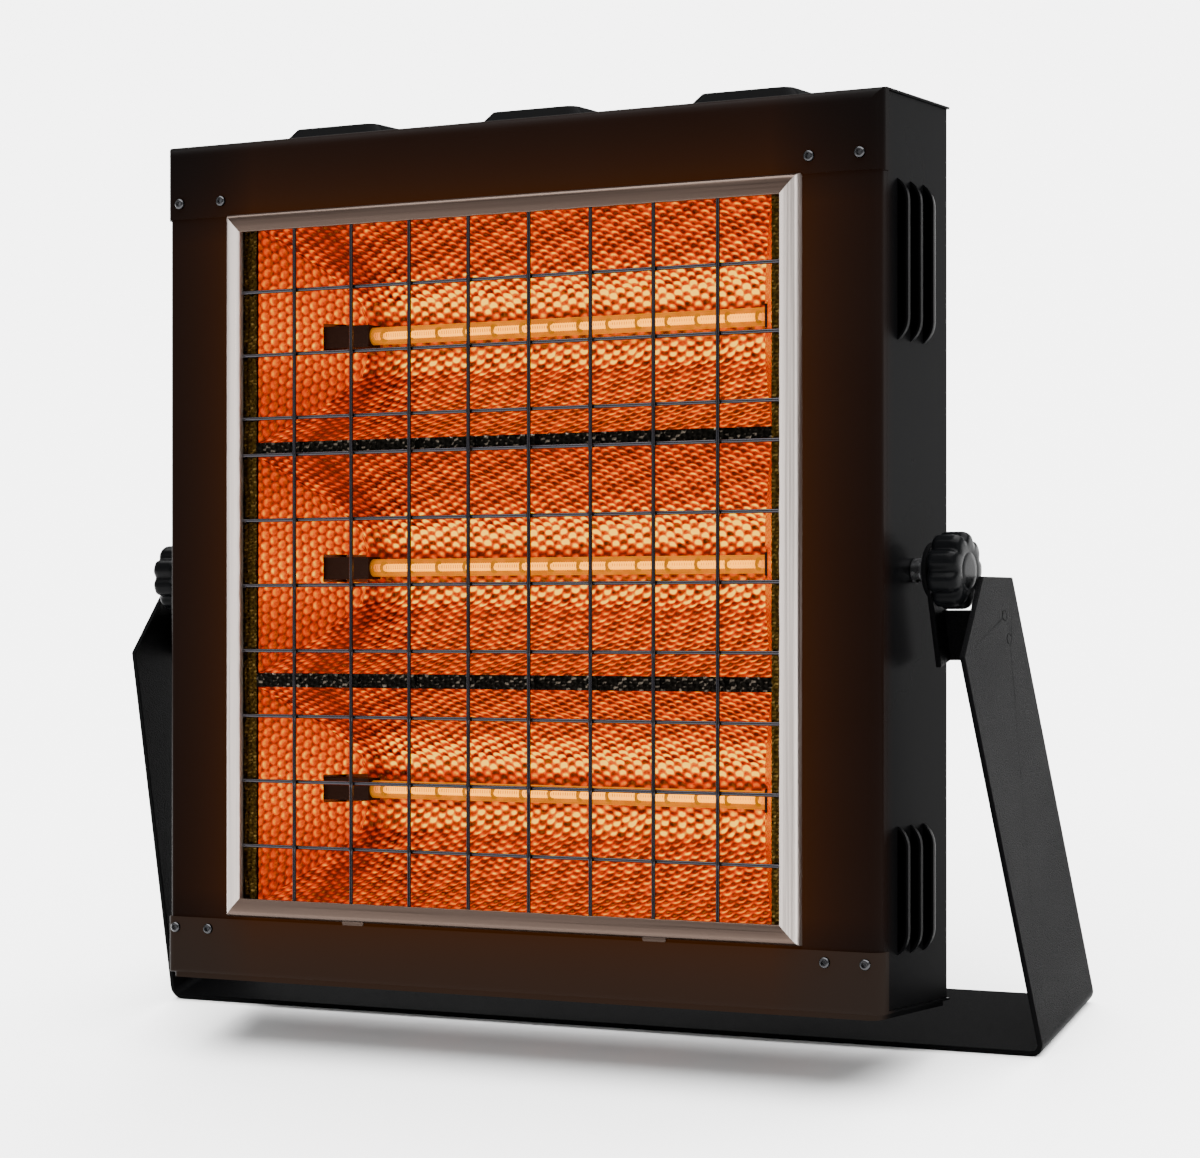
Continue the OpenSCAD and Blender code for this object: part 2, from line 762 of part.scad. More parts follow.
// Rubber ring around the leads where they pass through the back.
module lead_grommet() {
  flange_r = grommet_r + 4;
  color("black") difference() {
    union() {
      y_rod([grommet_x, case_d, grommet_z], flange_r, 2);
      y_rod([grommet_x, case_d - sheet_t - 2, grommet_z], flange_r, 2);
      y_rod([grommet_x, case_d - sheet_t - 1, grommet_z], grommet_r + 1.95, 3);
    }
    y_rod([grommet_x, case_d - 8, grommet_z], grommet_r, 14);
  }
}

// ---- connection box ----

// Box with one open side against the case's back.
module connection_box() {
  r = 5;
  wall = 1.6;
  color(black) difference() {
    translate([box_x, case_d + box_d, box_z]) rotate([90, 0, 0]) linear_extrude(box_d - 0.05)
      rounded_plate(box_w, box_h, r);
    translate([box_x, case_d + box_d - wall, box_z + wall]) rotate([90, 0, 0]) linear_extrude(box_d)
      rounded_plate(box_w - 2 * wall, box_h - 2 * wall, r - wall);
    y_rod([box_x, case_d, gland_z], 8.1, 40);
    for (x = box_screw_x, z = box_screw_z) y_rod([x, case_d, z], 1.7, 40, 24);
  }
}

module box_screws() {
  color(steel) for (x = box_screw_x, z = box_screw_z)
    translate([x, case_d + box_d, z]) mirror([0, 1, 0]) face_screw(3.2, 2, 1.6, box_d + 1.3);
}

module terminal_block() {
  poles = 5;
  pitch = 11;
  color("#d8d4c8") difference() {
    translate([box_x - poles * pitch / 2, case_d + 0.1, box_z + 27]) {
      cube([poles * pitch, 8, 20]);
      translate([0, 0, 5]) cube([poles * pitch, 14, 10]);
    }
    for (i = [0:poles - 1])
      y_rod([box_x + (i - (poles - 1) / 2) * pitch, case_d + 6, box_z + 37], 2.6, 20, 24);
  }
}

// Places its children so that +Z points out of the connection box along the gland.
module along_gland() {
  translate([box_x, case_d + box_d, gland_z]) rotate([-90, 0, 0]) children();
}

// Threaded body of the gland with its flange outside the box and its nut inside.
module gland_body() {
  color("#1c1c1c") along_gland() difference() {
    union() {
      cylinder(r = 11, h = 4, $fn = 6);
      translate([0, 0, -9]) cylinder(r = 8, h = 21);
      translate([0, 0, -5.7]) cylinder(r = 11, h = 4, $fn = 6);
    }
    translate([0, 0, -10]) cylinder(r = gland_r + 1.5, h = 30);
  }
}

module gland_seal() {
  color("black") along_gland() difference() {
    cylinder(r = gland_r + 1.4, h = 12);
    translate([0, 0, -1]) cylinder(r = gland_r, h = 20);
  }
}

module gland_dome_nut() {
  color("#1c1c1c") along_gland() difference() {
    union() {
      translate([0, 0, 5]) cylinder(r = 10.5, h = 9, $fn = 6);
      translate([0, 0, 14]) cylinder(r1 = 9, r2 = 6.5, h = 4);
    }
    translate([0, 0, 2]) cylinder(r = 8.05, h = 10.2);
    translate([0, 0, 10]) cylinder(r = gland_r + 0.6, h = 10);
  }
}

// ---- pivots and knobs ----

// A stud through the case's side with a round collar outside.
module stud() {
  color(steel) {
    x_rod([side_x - sheet_t - 10, pivot_y, pivot_z], stud_d / 2, stud_tip + sheet_t + 10);
    x_rod([side_x + 0.05, pivot_y, pivot_z], collar_r, lug_gap - washer_t - 0.4);
  }
}

module left_stud() {
  mirror([1, 0, 0]) stud();
}

module right_stud() {
  stud();
}

// Nuts that hold the studs from inside the case.
module stud_nuts() {
  color(steel) both_sides() difference() {
    x_rod([side_x - sheet_t - 6.6, pivot_y, pivot_z], 7.5, 6.5, 6);
    x_rod([side_x - sheet_t - 8, pivot_y, pivot_z], stud_d / 2 + 0.02, 10);
  }
}

module friction_washer() {
  color("#202020") difference() {
    x_rod([side_x + lug_gap - washer_t - 0.3, pivot_y, pivot_z], 11, washer_t);
    x_rod([side_x, pivot_y, pivot_z], stud_d / 2 + 0.1, 20);
  }
}

module left_friction_washer() {
  mirror([1, 0, 0]) friction_washer();
}

module right_friction_washer() {
  friction_washer();
}

// Lobed clamp knob around the stud's end, with a pocket for its threaded insert.
module knob() {
  groove_r = 3.4;
  color("#141516") difference() {
    union() {
      x_rod([side_x + knob_gap, pivot_y, pivot_z], 9, knob_hub_l + 0.5);
      x_rod([side_x + knob_gap + knob_hub_l, pivot_y, pivot_z], knob_d / 2, knob_l);
    }
    for (i = [0:knob_lobes - 1]) {
      a = (i + 0.5) * 360 / knob_lobes - 2;
      x_rod([
        side_x + knob_gap - 1, pivot_y - (knob_d / 2 + 1.4) * cos(a), pivot_z + (knob_d / 2 + 1.4) * sin(a)
      ], groove_r, knob_l + 4, 24);
    }
    x_rod([side_x + knob_gap - 1, pivot_y, pivot_z], insert_r, insert_l + 1);
  }
}

module left_knob() {
  mirror([1, 0, 0]) knob();
}

module right_knob() {
  knob();
}

module knob_insert() {
  color("#b08d3c") difference() {
    x_rod([side_x + knob_gap, pivot_y, pivot_z], insert_r, insert_l);
    x_rod([side_x + knob_gap - 1, pivot_y, pivot_z], stud_d / 2 + bore_play, insert_l + 2);
  }
}

module left_knob_insert() {
  mirror([1, 0, 0]) knob_insert();
}

module right_knob_insert() {
  knob_insert();
}

yoke();
left_pivot_bracket();
right_pivot_bracket();
bracket_rivets();
heater_frame() rear_casing();
heater_frame() front_panel();
heater_frame() top_cap();
heater_frame() bottom_cap();
heater_frame() vent_hoods();
heater_frame() cap_screws();
heater_frame() trim_frame();
heater_frame() wire_guard();
heater_frame() reflector_surround();
heater_frame() lower_reflector();
heater_frame() middle_reflector();
heater_frame() upper_reflector();
heater_frame() left_reflector_ends();
heater_frame() right_reflector_ends();
heater_frame() lower_lamp_tube();
heater_frame() middle_lamp_tube();
heater_frame() upper_lamp_tube();
heater_frame() lower_filament();
heater_frame() middle_filament();
heater_frame() upper_filament();
heater_frame() lamp_ceramics();
heater_frame() left_lamp_rail();
heater_frame() right_lamp_rail();
heater_frame() heat_shield();
heater_frame() lamp_leads();
heater_frame() lead_grommet();
heater_frame() connection_box();
heater_frame() box_screws();
heater_frame() terminal_block();
heater_frame() gland_body();
heater_frame() gland_seal();
heater_frame() gland_dome_nut();
heater_frame() left_stud();
heater_frame() right_stud();
heater_frame() stud_nuts();
heater_frame() left_friction_washer();
heater_frame() right_friction_washer();
heater_frame() left_knob();
heater_frame() right_knob();
heater_frame() left_knob_insert();
heater_frame() right_knob_insert();
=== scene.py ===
import math

import bmesh
import bpy
import numpy as np
from mathutils import Matrix, Vector


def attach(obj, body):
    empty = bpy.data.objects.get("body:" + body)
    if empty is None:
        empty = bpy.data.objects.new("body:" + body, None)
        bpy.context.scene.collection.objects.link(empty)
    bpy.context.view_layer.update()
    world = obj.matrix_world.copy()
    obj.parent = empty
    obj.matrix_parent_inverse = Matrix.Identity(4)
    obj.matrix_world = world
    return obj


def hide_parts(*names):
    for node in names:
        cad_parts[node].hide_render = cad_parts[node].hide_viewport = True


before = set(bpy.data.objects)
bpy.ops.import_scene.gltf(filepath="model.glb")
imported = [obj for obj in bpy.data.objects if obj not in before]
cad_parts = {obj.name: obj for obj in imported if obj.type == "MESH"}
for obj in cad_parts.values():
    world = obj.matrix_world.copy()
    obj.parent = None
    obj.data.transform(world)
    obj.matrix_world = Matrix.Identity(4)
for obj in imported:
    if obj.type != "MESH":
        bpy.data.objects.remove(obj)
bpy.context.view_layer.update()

bl_info = {
    "name": "Outdoor Heater",
    "version": (1, 0, 0),
    "blender": (4, 5, 0),
    "location": "3D View > Sidebar > Heater",
    "description": "Builds the detailed pieces and finishes of a three-lamp infrared heater on a yoke",
    "category": "Object",
}

# The case is laid out upright in millimetres, and then leans back about the tilt axis.
# X runs across from the case's middle, Y back from its front and Z up from its lower edge.
TILT = math.radians(16.75)
AXIS_Y, AXIS_Z, AXIS_HEIGHT = 44.4, 231.6, 255.0
SIDE_X = 226.0
# The face of the two caps, which lap over the front panel.
CAP_FACE = -1.2
LEVELS = ("lower", "middle", "upper")
LAMP_X, LAMP_Y, LAMP_Z = 13.0, 47.0, (109.0, 236.0, 369.0)
REFLECTOR_Z = (106.5, 237.5, 368.5)
# The trim's opening: half its width, its lower edge and its upper edge.
WINDOW = (171.5, 47.5, 427.0)
# The lit window in metres: half its width, its middle's height and half its height, and the reach of the
# painted glow on the case.
GLOW_HALF_X, GLOW_MIDDLE, GLOW_HALF_Z, GLOW_REACH = 0.165, 0.237, 0.185, 0.03
# What the trim's level sides keep of the upright sides' red, green and blue: painted shade,
# which makes the level sides a darker copy of the same steel.
LEVEL_TRIM_PAINTED_SHADE = (0.065 / 0.56, 0.045 / 0.49, 0.036 / 0.45)
# Every finish by name, filled by the finishes operator.
FINISH = {}


# ---------------------------------------------------------------- surfaces


def lean_back(points):
    """Turns millimetres in the upright case into metres in the part's frame.

    Each point turns about the tilt axis by the lean that the case has at rest.
    """
    p = np.asarray(points, float)
    y, z = p[..., 1] - AXIS_Y, p[..., 2] - AXIS_Z
    c, s = math.cos(TILT), math.sin(TILT)
    return np.stack([p[..., 0], y * c + z * s, AXIS_HEIGHT - y * s + z * c], -1) / 1000


def grid_quads(rows, columns, closed=(False, False)):
    """Four-sided faces of a grid of rows and columns, which may wrap round either way."""
    r = np.arange(rows if closed[0] else rows - 1)[:, None]
    c = np.arange(columns if closed[1] else columns - 1)[None, :]
    r1, c1 = (r + 1) % rows, (c + 1) % columns
    corners = [r * columns + c, r * columns + c1, r1 * columns + c1, r1 * columns + c]
    return np.stack(np.broadcast_arrays(*corners), -1).reshape(-1, 4)


def many_grids(points, closed=(False, False), keep=None):
    """Points of shape (count, rows, columns, 3) as one list of points and one of faces.

    Keep marks the faces that stay.
    """
    count, rows, columns = points.shape[:3]
    quads = grid_quads(rows, columns, closed)
    if keep is not None:
        quads = quads[np.asarray(keep).reshape(-1)]
    shift = np.arange(count)[:, None, None] * rows * columns
    return points.reshape(-1, 3), (quads[None] + shift).reshape(-1, 4)


def as_object(name, parts, finish, outward=True, crease=40.0, painted_light=None):
    """One mesh object from parts, each of which is points in metres and faces.

    Seams and poles are welded, faces look outwards, and edges sharper than crease degrees stay sharp.
    Painted light is a value for each point, the painted lamp light, which the finish may read.
    """
    points, faces, start = [], [], 0
    for p, f in parts:
        points.append(p)
        faces.append(f + start)
        start += len(p)
    mesh = bpy.data.meshes.new(name)
    mesh.from_pydata(np.concatenate(points).tolist(), [], np.concatenate(faces).tolist())
    if painted_light is not None:
        layer = mesh.attributes.new("painted_light_level", "FLOAT", "POINT")
        layer.data.foreach_set("value", np.asarray(painted_light, np.float32).ravel())
    body = bpy.data.objects.new(name, mesh)
    bpy.context.scene.collection.objects.link(body)
    work = bmesh.new()
    work.from_mesh(mesh)
    bmesh.ops.remove_doubles(work, verts=work.verts, dist=2e-6)
    bmesh.ops.dissolve_degenerate(work, dist=1e-7, edges=work.edges)
    if outward:
        bmesh.ops.recalc_face_normals(work, faces=work.faces)
    work.to_mesh(mesh)
    work.free()
    mesh.polygons.foreach_set("use_smooth", np.ones(len(mesh.polygons), bool))
    mesh.set_sharp_from_angle(angle=math.radians(crease))
    mesh.materials.append(finish)
    mesh.update()
    if not len(mesh.polygons):
        raise RuntimeError(f"{name} has no faces")
    return body


def lathe(profile, sides, at, sign=1):
    """Surface of revolution about an axis along X: each radius of the profile turns at its own place."""
    along, radius = np.asarray(profile, float).T
    angle = np.linspace(0, 2 * math.pi, sides, endpoint=False)
    a = np.broadcast_to(along[:, None], (len(along), sides))
    u, v = radius[:, None] * np.cos(angle), radius[:, None] * np.sin(angle)
    return np.stack([at[0] + sign * a, at[1] + u, at[2] + v], -1)


def rounded(points, radii, steps=4):
    """A profile whose corners are replaced by quadratic curves of the given reach."""
    points = [np.asarray(p, float) for p in points]
    made = [points[0]]
    for before, here, after, reach in zip(points, points[1:], points[2:], radii):
        a = here + (before - here) * min(0.49, reach / np.linalg.norm(before - here))
        b = here + (after - here) * min(0.49, reach / np.linalg.norm(after - here))
        t = np.linspace(0, 1, steps + 1)[:, None]
        made.extend((1 - t) ** 2 * a + 2 * t * (1 - t) * here + t**2 * b)
    made.append(points[-1])
    return np.array(made)


def hammer(a, b, pitch):
    """Height of a hammered sheet, from -0.5 to 1.

    It is the mean of three cosines at 60 degrees to each other, whose places wander slowly.
    """
    a = a + 0.9 * np.sin(b / 9.0) + 0.5 * np.sin(b / 3.9 + a / 11.0)
    b = b + 0.9 * np.sin(a / 8.0) + 0.5 * np.sin(a / 4.3 - b / 9.0)
    k = 4 * math.pi / (math.sqrt(3) * pitch)
    turns = (0, math.pi / 3, 2 * math.pi / 3)
    return sum(np.cos(k * (a * math.cos(t) + b * math.sin(t))) for t in turns) / 3


def folded_rim(points, normals, depth):
    """Adds a row or column beyond each edge of a grid, pushed back along the normals, as a thickness."""
    padded = np.pad(points, ((1, 1), (1, 1), (0, 0)), mode="edge")
    back = np.pad(normals, ((1, 1), (1, 1), (0, 0)), mode="edge") * depth
    rim = np.ones(padded.shape[:2], bool)
    rim[1:-1, 1:-1] = False
    padded[rim] -= back[rim]
    return padded


# Half of a reflector's folded section: the depth behind the case's front and the height from its middle.
TROUGH_HALF = np.array([[2.2, 61.5], [37, 40], [50, 30], [60, 21], [63, 9], [60, 0]])
FOLD_SOFTNESS = 0.8
# Half a reflector's width at its mouth, how far its end panels lean in, and half the lamp slot's height.
MOUTH_HALF, END_LEAN, SLOT_HALF = 163.95, 35 / 61.6, 8


def trough_profile(step):
    """Depth, height and front-facing normal along a reflector's folded section, at even spacing."""
    line = np.concatenate([TROUGH_HALF, TROUGH_HALF[-2::-1] * [1, -1]])
    run = np.concatenate([[0], np.cumsum(np.linalg.norm(np.diff(line, axis=0), axis=1))])
    s = np.linspace(0, run[-1], int(run[-1] / step) + 1)
    place = sum(
        np.stack([np.interp(s + shift, run, line[:, 0]), np.interp(s + shift, run, line[:, 1])], -1)
        for shift in (-FOLD_SOFTNESS, 0, FOLD_SOFTNESS)
    ) / 3
    place[0], place[-1] = line[0], line[-1]
    slope = np.gradient(place, axis=0)
    slope /= np.linalg.norm(slope, axis=1)[:, None]
    return s, place, np.stack([slope[:, 1], -slope[:, 0]], -1)


# Painted lamp light on a reflector at a height above its lamp, in millimetres, from 0 for dark to 1 for
# yellow.
PAINTED_LIGHT_BY_GAP = (
    (-68, 0.33), (-50, 0.40), (-40, 0.44), (-32, 0.46), (-26, 0.40),
    (-20, 0.66), (-13, 0.80), (-9, 0.5), (-5, 0.26), (0, 0.34),
    (5, 0.26), (9, 0.40), (13, 0.78), (20, 0.90), (28, 0.70),
    (34, 0.46), (42, 0.42), (55, 0.40), (68, 0.31),
)


def shaded_by_lamp(cells, gap, across):
    """Painted lamp light of a hammered trough.

    It is low between the dimples and high on their walls that face the lamp, as a painted highlight. It
    follows the height above the lamp, falls into a painted shadow beside the lamp's cold end and rises a
    little from left to right.
    """
    base = np.interp(gap, *np.array(PAINTED_LIGHT_BY_GAP).T)
    inside = np.clip((cells + 0.45) / 0.5, 0, 1)
    wall = np.clip(np.gradient(cells, axis=0) * np.sign(gap) / 0.42, -1, 1)
    spots = np.sin(across / 7.3 + gap / 3.1) * np.sin(across / 4.1 - gap / 5.7)
    # Painted shadow: a darker band beside the lamp's cold end.
    painted_lamp_end_shadow = 1 - 0.45 * np.exp(-(((across + 122) / 13) ** 2))
    rise = 0.86 + 0.2 * np.clip((across + MOUTH_HALF) / 300, 0, 1)
    return base * (0.52 + 0.50 * inside + 0.72 * wall + 0.26 * spots) * painted_lamp_end_shadow * rise


def trough_skin(z, lamp, pitch, depth, step):
    """Hammered inside of one reflector.

    Its folded section runs from end panel to end panel, and each point moves along the normal by the
    hammered height.
    """
    s, place, normal = trough_profile(step)
    half_x = MOUTH_HALF - (place[:, 0] - 1.4) * END_LEAN
    columns = int(328 / step)
    x = np.linspace(-1, 1, columns)[None, :] * half_x[:, None]
    into, up = (np.broadcast_to(place[:, i : i + 1], x.shape) for i in (0, 1))
    base = np.stack([x, into, z + up], -1)
    n = np.broadcast_to(np.stack([0 * s, normal[:, 0], normal[:, 1]], -1)[:, None], base.shape)
    cells = hammer(x, np.broadcast_to(s[:, None], x.shape), pitch)
    # The painted lamp light of each point, padded for the folded rim.
    painted_light = np.pad(shaded_by_lamp(cells, base[..., 2] - lamp, x), 1, mode="edge")
    return folded_rim(base - n * (depth * cells)[..., None], n, 0.7)[None], painted_light


def end_skin(side, z, lamp, pitch, depth, step):
    """Hammered end panel: the grid runs over the depth and a share of the height there.

    Its rows gather along both edges of the lamp's slot, and the faces inside the slot are dropped.
    """
    y = np.concatenate([np.linspace(2.3, 38, int(36 / step)), np.linspace(38, 62.6, int(25 / step))[1:]])
    half = np.interp(y, TROUGH_HALF[:5, 0], TROUGH_HALF[:5, 1])
    low = np.maximum(-half, lamp - z - SLOT_HALF)
    high = np.minimum(half, lamp - z + SLOT_HALF)
    n_side, n_mid = int(46 / step), int(16 / step)
    t, m = np.linspace(0, 1, n_side)[:, None], np.linspace(0, 1, n_mid)[1:-1, None]
    height = np.concatenate([-half + t * (low + half), low + m * (high - low), high + t * (half - high)])
    depth_y = np.broadcast_to(y[None], height.shape)
    x = side * (MOUTH_HALF - 0.05 - (depth_y - 1.4) * END_LEAN)
    base = np.stack([x, depth_y, z + height], -1)
    n = np.array([-side, -END_LEAN, 0.0])
    n = np.broadcast_to(n / np.linalg.norm(n), base.shape)
    cells = hammer(depth_y * 1.15 + 3, height, pitch)
    gap = base[..., 2] - lamp
    # Painted lamp light: a painted glow about the lamp's height, brighter inside the dimples and on walls on
    # one side.
    glow = 0.33 + 0.24 * np.exp(-((gap / 26) ** 2)) + 0.08 * np.exp(-(((gap - 30) / 14) ** 2))
    inside = np.clip((cells + 0.45) / 0.4, 0, 1)
    wall = np.clip(np.gradient(cells, axis=1) / 0.5, -1, 1)
    painted_light = glow * (0.36 + 0.66 * inside + 0.34 * wall)
    row = np.arange(height.shape[0] - 1)[:, None]
    column = np.arange(height.shape[1] - 1)[None]
    slot = (row >= n_side - 1) & (row < n_side + n_mid - 2) & (y[column] >= 38 - 1e-6)
    return (base - n * (depth * cells)[..., None])[None], ~slot, painted_light


def flat_skin(x0, x1, z0, z1, y, pitch, depth, step):
    """Hammered flat strip that faces forwards: the hammered height moves each point along the depth."""
    x = np.linspace(x0, x1, max(3, int((x1 - x0) / step)))
    z = np.linspace(z0, z1, max(3, int((z1 - z0) / step)))
    zz, xx = np.meshgrid(z, x, indexing="ij")
    n = np.broadcast_to(np.array([0, -1.0, 0]), (*xx.shape, 3))
    base = np.stack([xx, 0 * xx + y, zz], -1)
    cells = hammer(xx, zz, pitch)
    # Painted lamp light: walls that face one way get a painted highlight, and the dimples a little painted
    # shade.
    wall = np.clip(np.gradient(cells, axis=0) / 0.5, -1, 1)
    painted_light = np.pad(0.5 + 0.42 * wall - 0.25 * cells, 1, mode="edge")
    return folded_rim(base - n * (depth * cells)[..., None], n, 0.5)[None], painted_light


def rods(starts, ends, radius, bulge_at, bulge, samples, sides=12):
    """Round wires between pairs of points, whose radius swells by a narrow bell curve at each weld."""
    starts, ends = np.asarray(starts, float), np.asarray(ends, float)
    t = np.linspace(0, 1, samples)
    length = np.linalg.norm(ends - starts, axis=1)[:, None]
    along = (ends - starts) / length
    centre = starts[:, None] + (ends - starts)[:, None] * t[None, :, None]
    other = np.where(np.abs(along[:, :1]) > 0.5, [[0, 0, 1.0]], [[1.0, 0, 0]])
    depth = np.cross(along, other)
    s = length * t[None]
    near = np.exp(-(((s[..., None] - np.asarray(bulge_at)[None, None]) / 1.6) ** 2)).sum(-1)
    r = radius + bulge * near
    r[:, 0] = r[:, -1] = 1e-4
    angle = np.linspace(0, 2 * math.pi, sides, endpoint=False)
    u, v = (wave[None, None, :, None] for wave in (np.cos(angle), np.sin(angle)))
    ring = other[:, None, None] * u + depth[:, None, None] * v
    return many_grids(centre[:, :, None] + ring * r[..., None, None], (False, True))


# ---------------------------------------------------------------- shading


class Field:
    """One output of a shader node; it adds, subtracts, multiplies and divides like a number."""

    def __init__(self, tree, socket):
        self.tree, self.socket = tree, socket

    def node(self, kind, *inputs, out=0, named=None, **settings):
        """Adds any node of this kind; inputs go in by place or by name, and one output comes back."""
        made = self.tree.nodes.new(kind)
        for key, value in settings.items():
            setattr(made, key, value)
        for place, value in [*enumerate(inputs), *(named or {}).items()]:
            if isinstance(value, Field):
                self.tree.links.new(value.socket, made.inputs[place])
            elif value is not None:
                made.inputs[place].default_value = value
        return Field(self.tree, made.outputs[out])

    def math(self, operation, *others):
        return self.node("ShaderNodeMath", self, *others, operation=operation)

    def __add__(self, other):
        return self.math("ADD", other)

    def __radd__(self, other):
        return self.math("ADD", other)

    def __sub__(self, other):
        return self.math("SUBTRACT", other)

    def __rsub__(self, other):
        return self.node("ShaderNodeMath", other, self, operation="SUBTRACT")

    def __mul__(self, other):
        return self.math("MULTIPLY", other)

    def __rmul__(self, other):
        return self.math("MULTIPLY", other)

    def __truediv__(self, other):
        return self.math("DIVIDE", other)

    def __rtruediv__(self, other):
        return self.node("ShaderNodeMath", other, self, operation="DIVIDE")

    def size(self):
        return self.math("ABSOLUTE")

    def ramp(self, low, high, to_low=0.0, to_high=1.0):
        """Runs smoothly from one value to another as this one goes from low to high."""
        settings = {"interpolation_type": "SMOOTHSTEP"}
        return self.node("ShaderNodeMapRange", self, low, high, to_low, to_high, **settings)

    def parts(self):
        return [self.node("ShaderNodeSeparateXYZ", self, out=i) for i in range(3)]

    def noise(self, scale, detail=2.0, stretch=None):
        vector = self if stretch is None else self.times(stretch)
        return vector.node("ShaderNodeTexNoise", named={"Vector": vector, "Scale": scale, "Detail": detail})

    def times(self, other):
        """This colour or vector multiplied, channel by channel, by a vector or by a number's field."""
        return self.node("ShaderNodeVectorMath", self, other, operation="MULTIPLY")

    def tones(self, *stops):
        """Colour that runs through these (place, colour) stops as this value goes from 0 to 1."""
        made = self.node("ShaderNodeValToRGB", self)
        elements = made.socket.node.color_ramp.elements
        elements[0].position, elements[0].color = stops[0]
        elements[1].position, elements[1].color = stops[-1]
        for place, tone in stops[1:-1]:
            elements.new(place).color = tone
        return made

    def painted_light(self):
        """The painted lamp light that as_object stored for each point of the mesh."""
        return self.node("ShaderNodeAttribute", out=2, attribute_name="painted_light_level")

    def bumped(self, strength, distance):
        """Normal of a surface whose height is this value."""
        return self.node("ShaderNodeBump", named={"Strength": strength, "Distance": distance, "Height": self})

    def mix(self, a, b):
        """Colour between a and b by this factor."""
        return self.node("ShaderNodeMix", self, out=2, named={6: a, 7: b}, data_type="RGBA")


def colour(r, g, b):
    return (r, g, b, 1.0)


def scaled(shade, share):
    """A shade made darker or lighter by a share, and never past full."""
    return colour(*[min(1.0, c * share) for c in shade])


def new_material(name, recipe, **constants):
    """A Principled surface: the recipe gets the place on the part and returns varying inputs by name."""
    made = bpy.data.materials.new(name)
    made.use_nodes = True
    tree = made.node_tree
    tree.nodes.clear()
    surface = tree.nodes.new("ShaderNodeBsdfPrincipled")
    output = tree.nodes.new("ShaderNodeOutputMaterial")
    tree.links.new(surface.outputs[0], output.inputs[0])
    place = Field(tree, tree.nodes.new("ShaderNodeTexCoord").outputs["Object"])
    for key, value in constants.items():
        surface.inputs[key.replace("_", " ")].default_value = value
    for key, value in recipe(place).items():
        if isinstance(value, Field):
            tree.links.new(value.socket, surface.inputs[key])
        else:
            surface.inputs[key].default_value = value
    return made


def upright(place):
    """Turns a place on the part back into the upright case's own metres."""
    turned = place.node(
        "ShaderNodeMapping",
        named={"Vector": place, "Location": (0, 0, AXIS_HEIGHT / 1000), "Rotation": (-TILT, 0, 0)},
        vector_type="TEXTURE",
    )
    return turned.node("ShaderNodeVectorMath", turned, (0, AXIS_Y / 1000, AXIS_Z / 1000), operation="ADD")


def painted_window_light(place):
    """How much painted lamp light a place gets beside the window, and how far it belongs to the case's front.
    """
    x, y, z = upright(place).parts()
    out_x = (x.size() - GLOW_HALF_X).math("MAXIMUM", 0.0)
    out_z = ((z - GLOW_MIDDLE).size() - GLOW_HALF_Z).math("MAXIMUM", 0.0)
    return ((out_x + out_z) / GLOW_REACH * -1.0).math("EXPONENT"), y.ramp(0.002, 0.02, 1.0, 0.0)


def powder_coat(name, shade, rough, grain, size, shine):
    """Powder coat: fine noise bumps it, and broad noise tints and roughens it."""

    def recipe(place):
        fine = place.noise(size, 3.0)
        broad = place.noise(9.0, 3.0)
        base = broad.mix(scaled(shade, 0.85), scaled(shade, 1.2))
        bump = fine.bumped(grain, 0.001)
        gloss = broad.ramp(0.3, 0.7, rough * 0.9, rough * 1.1)
        return {"Base Color": base, "Roughness": gloss, "Normal": bump}

    return new_material(name, recipe, Specular_IOR_Level=shine)


def brushed(name, shade, rough, stretch, streak=0.25):
    """Drawn or brushed metal: noise stretched along one direction tints and roughens it."""

    def recipe(place):
        lines = upright(place).noise(1.0, 4.0, stretch)
        base = lines.mix(scaled(shade, 1 - streak), scaled(shade, 1 + streak))
        bump = lines.bumped(0.06, 0.0005)
        gloss = lines.ramp(0.3, 0.7, rough * 0.8, rough * 1.25)
        return {"Base Color": base, "Roughness": gloss, "Normal": bump}

    return new_material(name, recipe, Metallic=1.0)


def moulded(name, shade, rough, size=900.0, grain=0.04, shine=0.2):
    """Moulded plastic, rubber or ceramic with a fine grain."""

    def recipe(place):
        fine = place.noise(size, 2.0)
        base = place.noise(40.0).mix(scaled(shade, 0.85), scaled(shade, 1.15))
        bump = fine.bumped(grain, 0.0005)
        gloss = fine.ramp(0.3, 0.7, rough * 0.9, rough * 1.1)
        return {"Base Color": base, "Roughness": gloss, "Normal": bump}

    return new_material(name, recipe, Specular_IOR_Level=shine)


def bright_metal(name, shade, rough):
    """Plain metal whose shade and gloss drift a little."""

    def recipe(place):
        cloud = place.noise(300.0, 3.0)
        base = cloud.mix(scaled(shade, 0.85), colour(*shade))
        return {"Base Color": base, "Roughness": cloud.ramp(0.3, 0.7, rough * 0.8, rough * 1.3)}

    return new_material(name, recipe, Metallic=1.0)


def case_black_with_painted_glow(name, near, far):
    """Satin black with painted lamp light, an emission on its front in the near tone beside the window, which
    fades to the far tone.
    """

    def recipe(place):
        glow, front = painted_window_light(place)
        fine = place.noise(1500.0, 3.0)
        broad = upright(place).noise(7.0, 3.0)
        base = broad.mix(colour(0.0011, 0.0011, 0.0012), colour(0.0020, 0.0020, 0.0021))
        bump = fine.bumped(0.02, 0.0005)
        tone = glow.mix(colour(*far), colour(*near))
        # Painted lamp light on the case's front.
        warm = tone.times(front)
        rough = broad.ramp(0.3, 0.7, 0.26, 0.34)
        return {"Base Color": base, "Roughness": rough, "Normal": bump, "Emission Color": warm}

    return unsampled(new_material(name, recipe, Specular_IOR_Level=0.003, Emission_Strength=0.45))


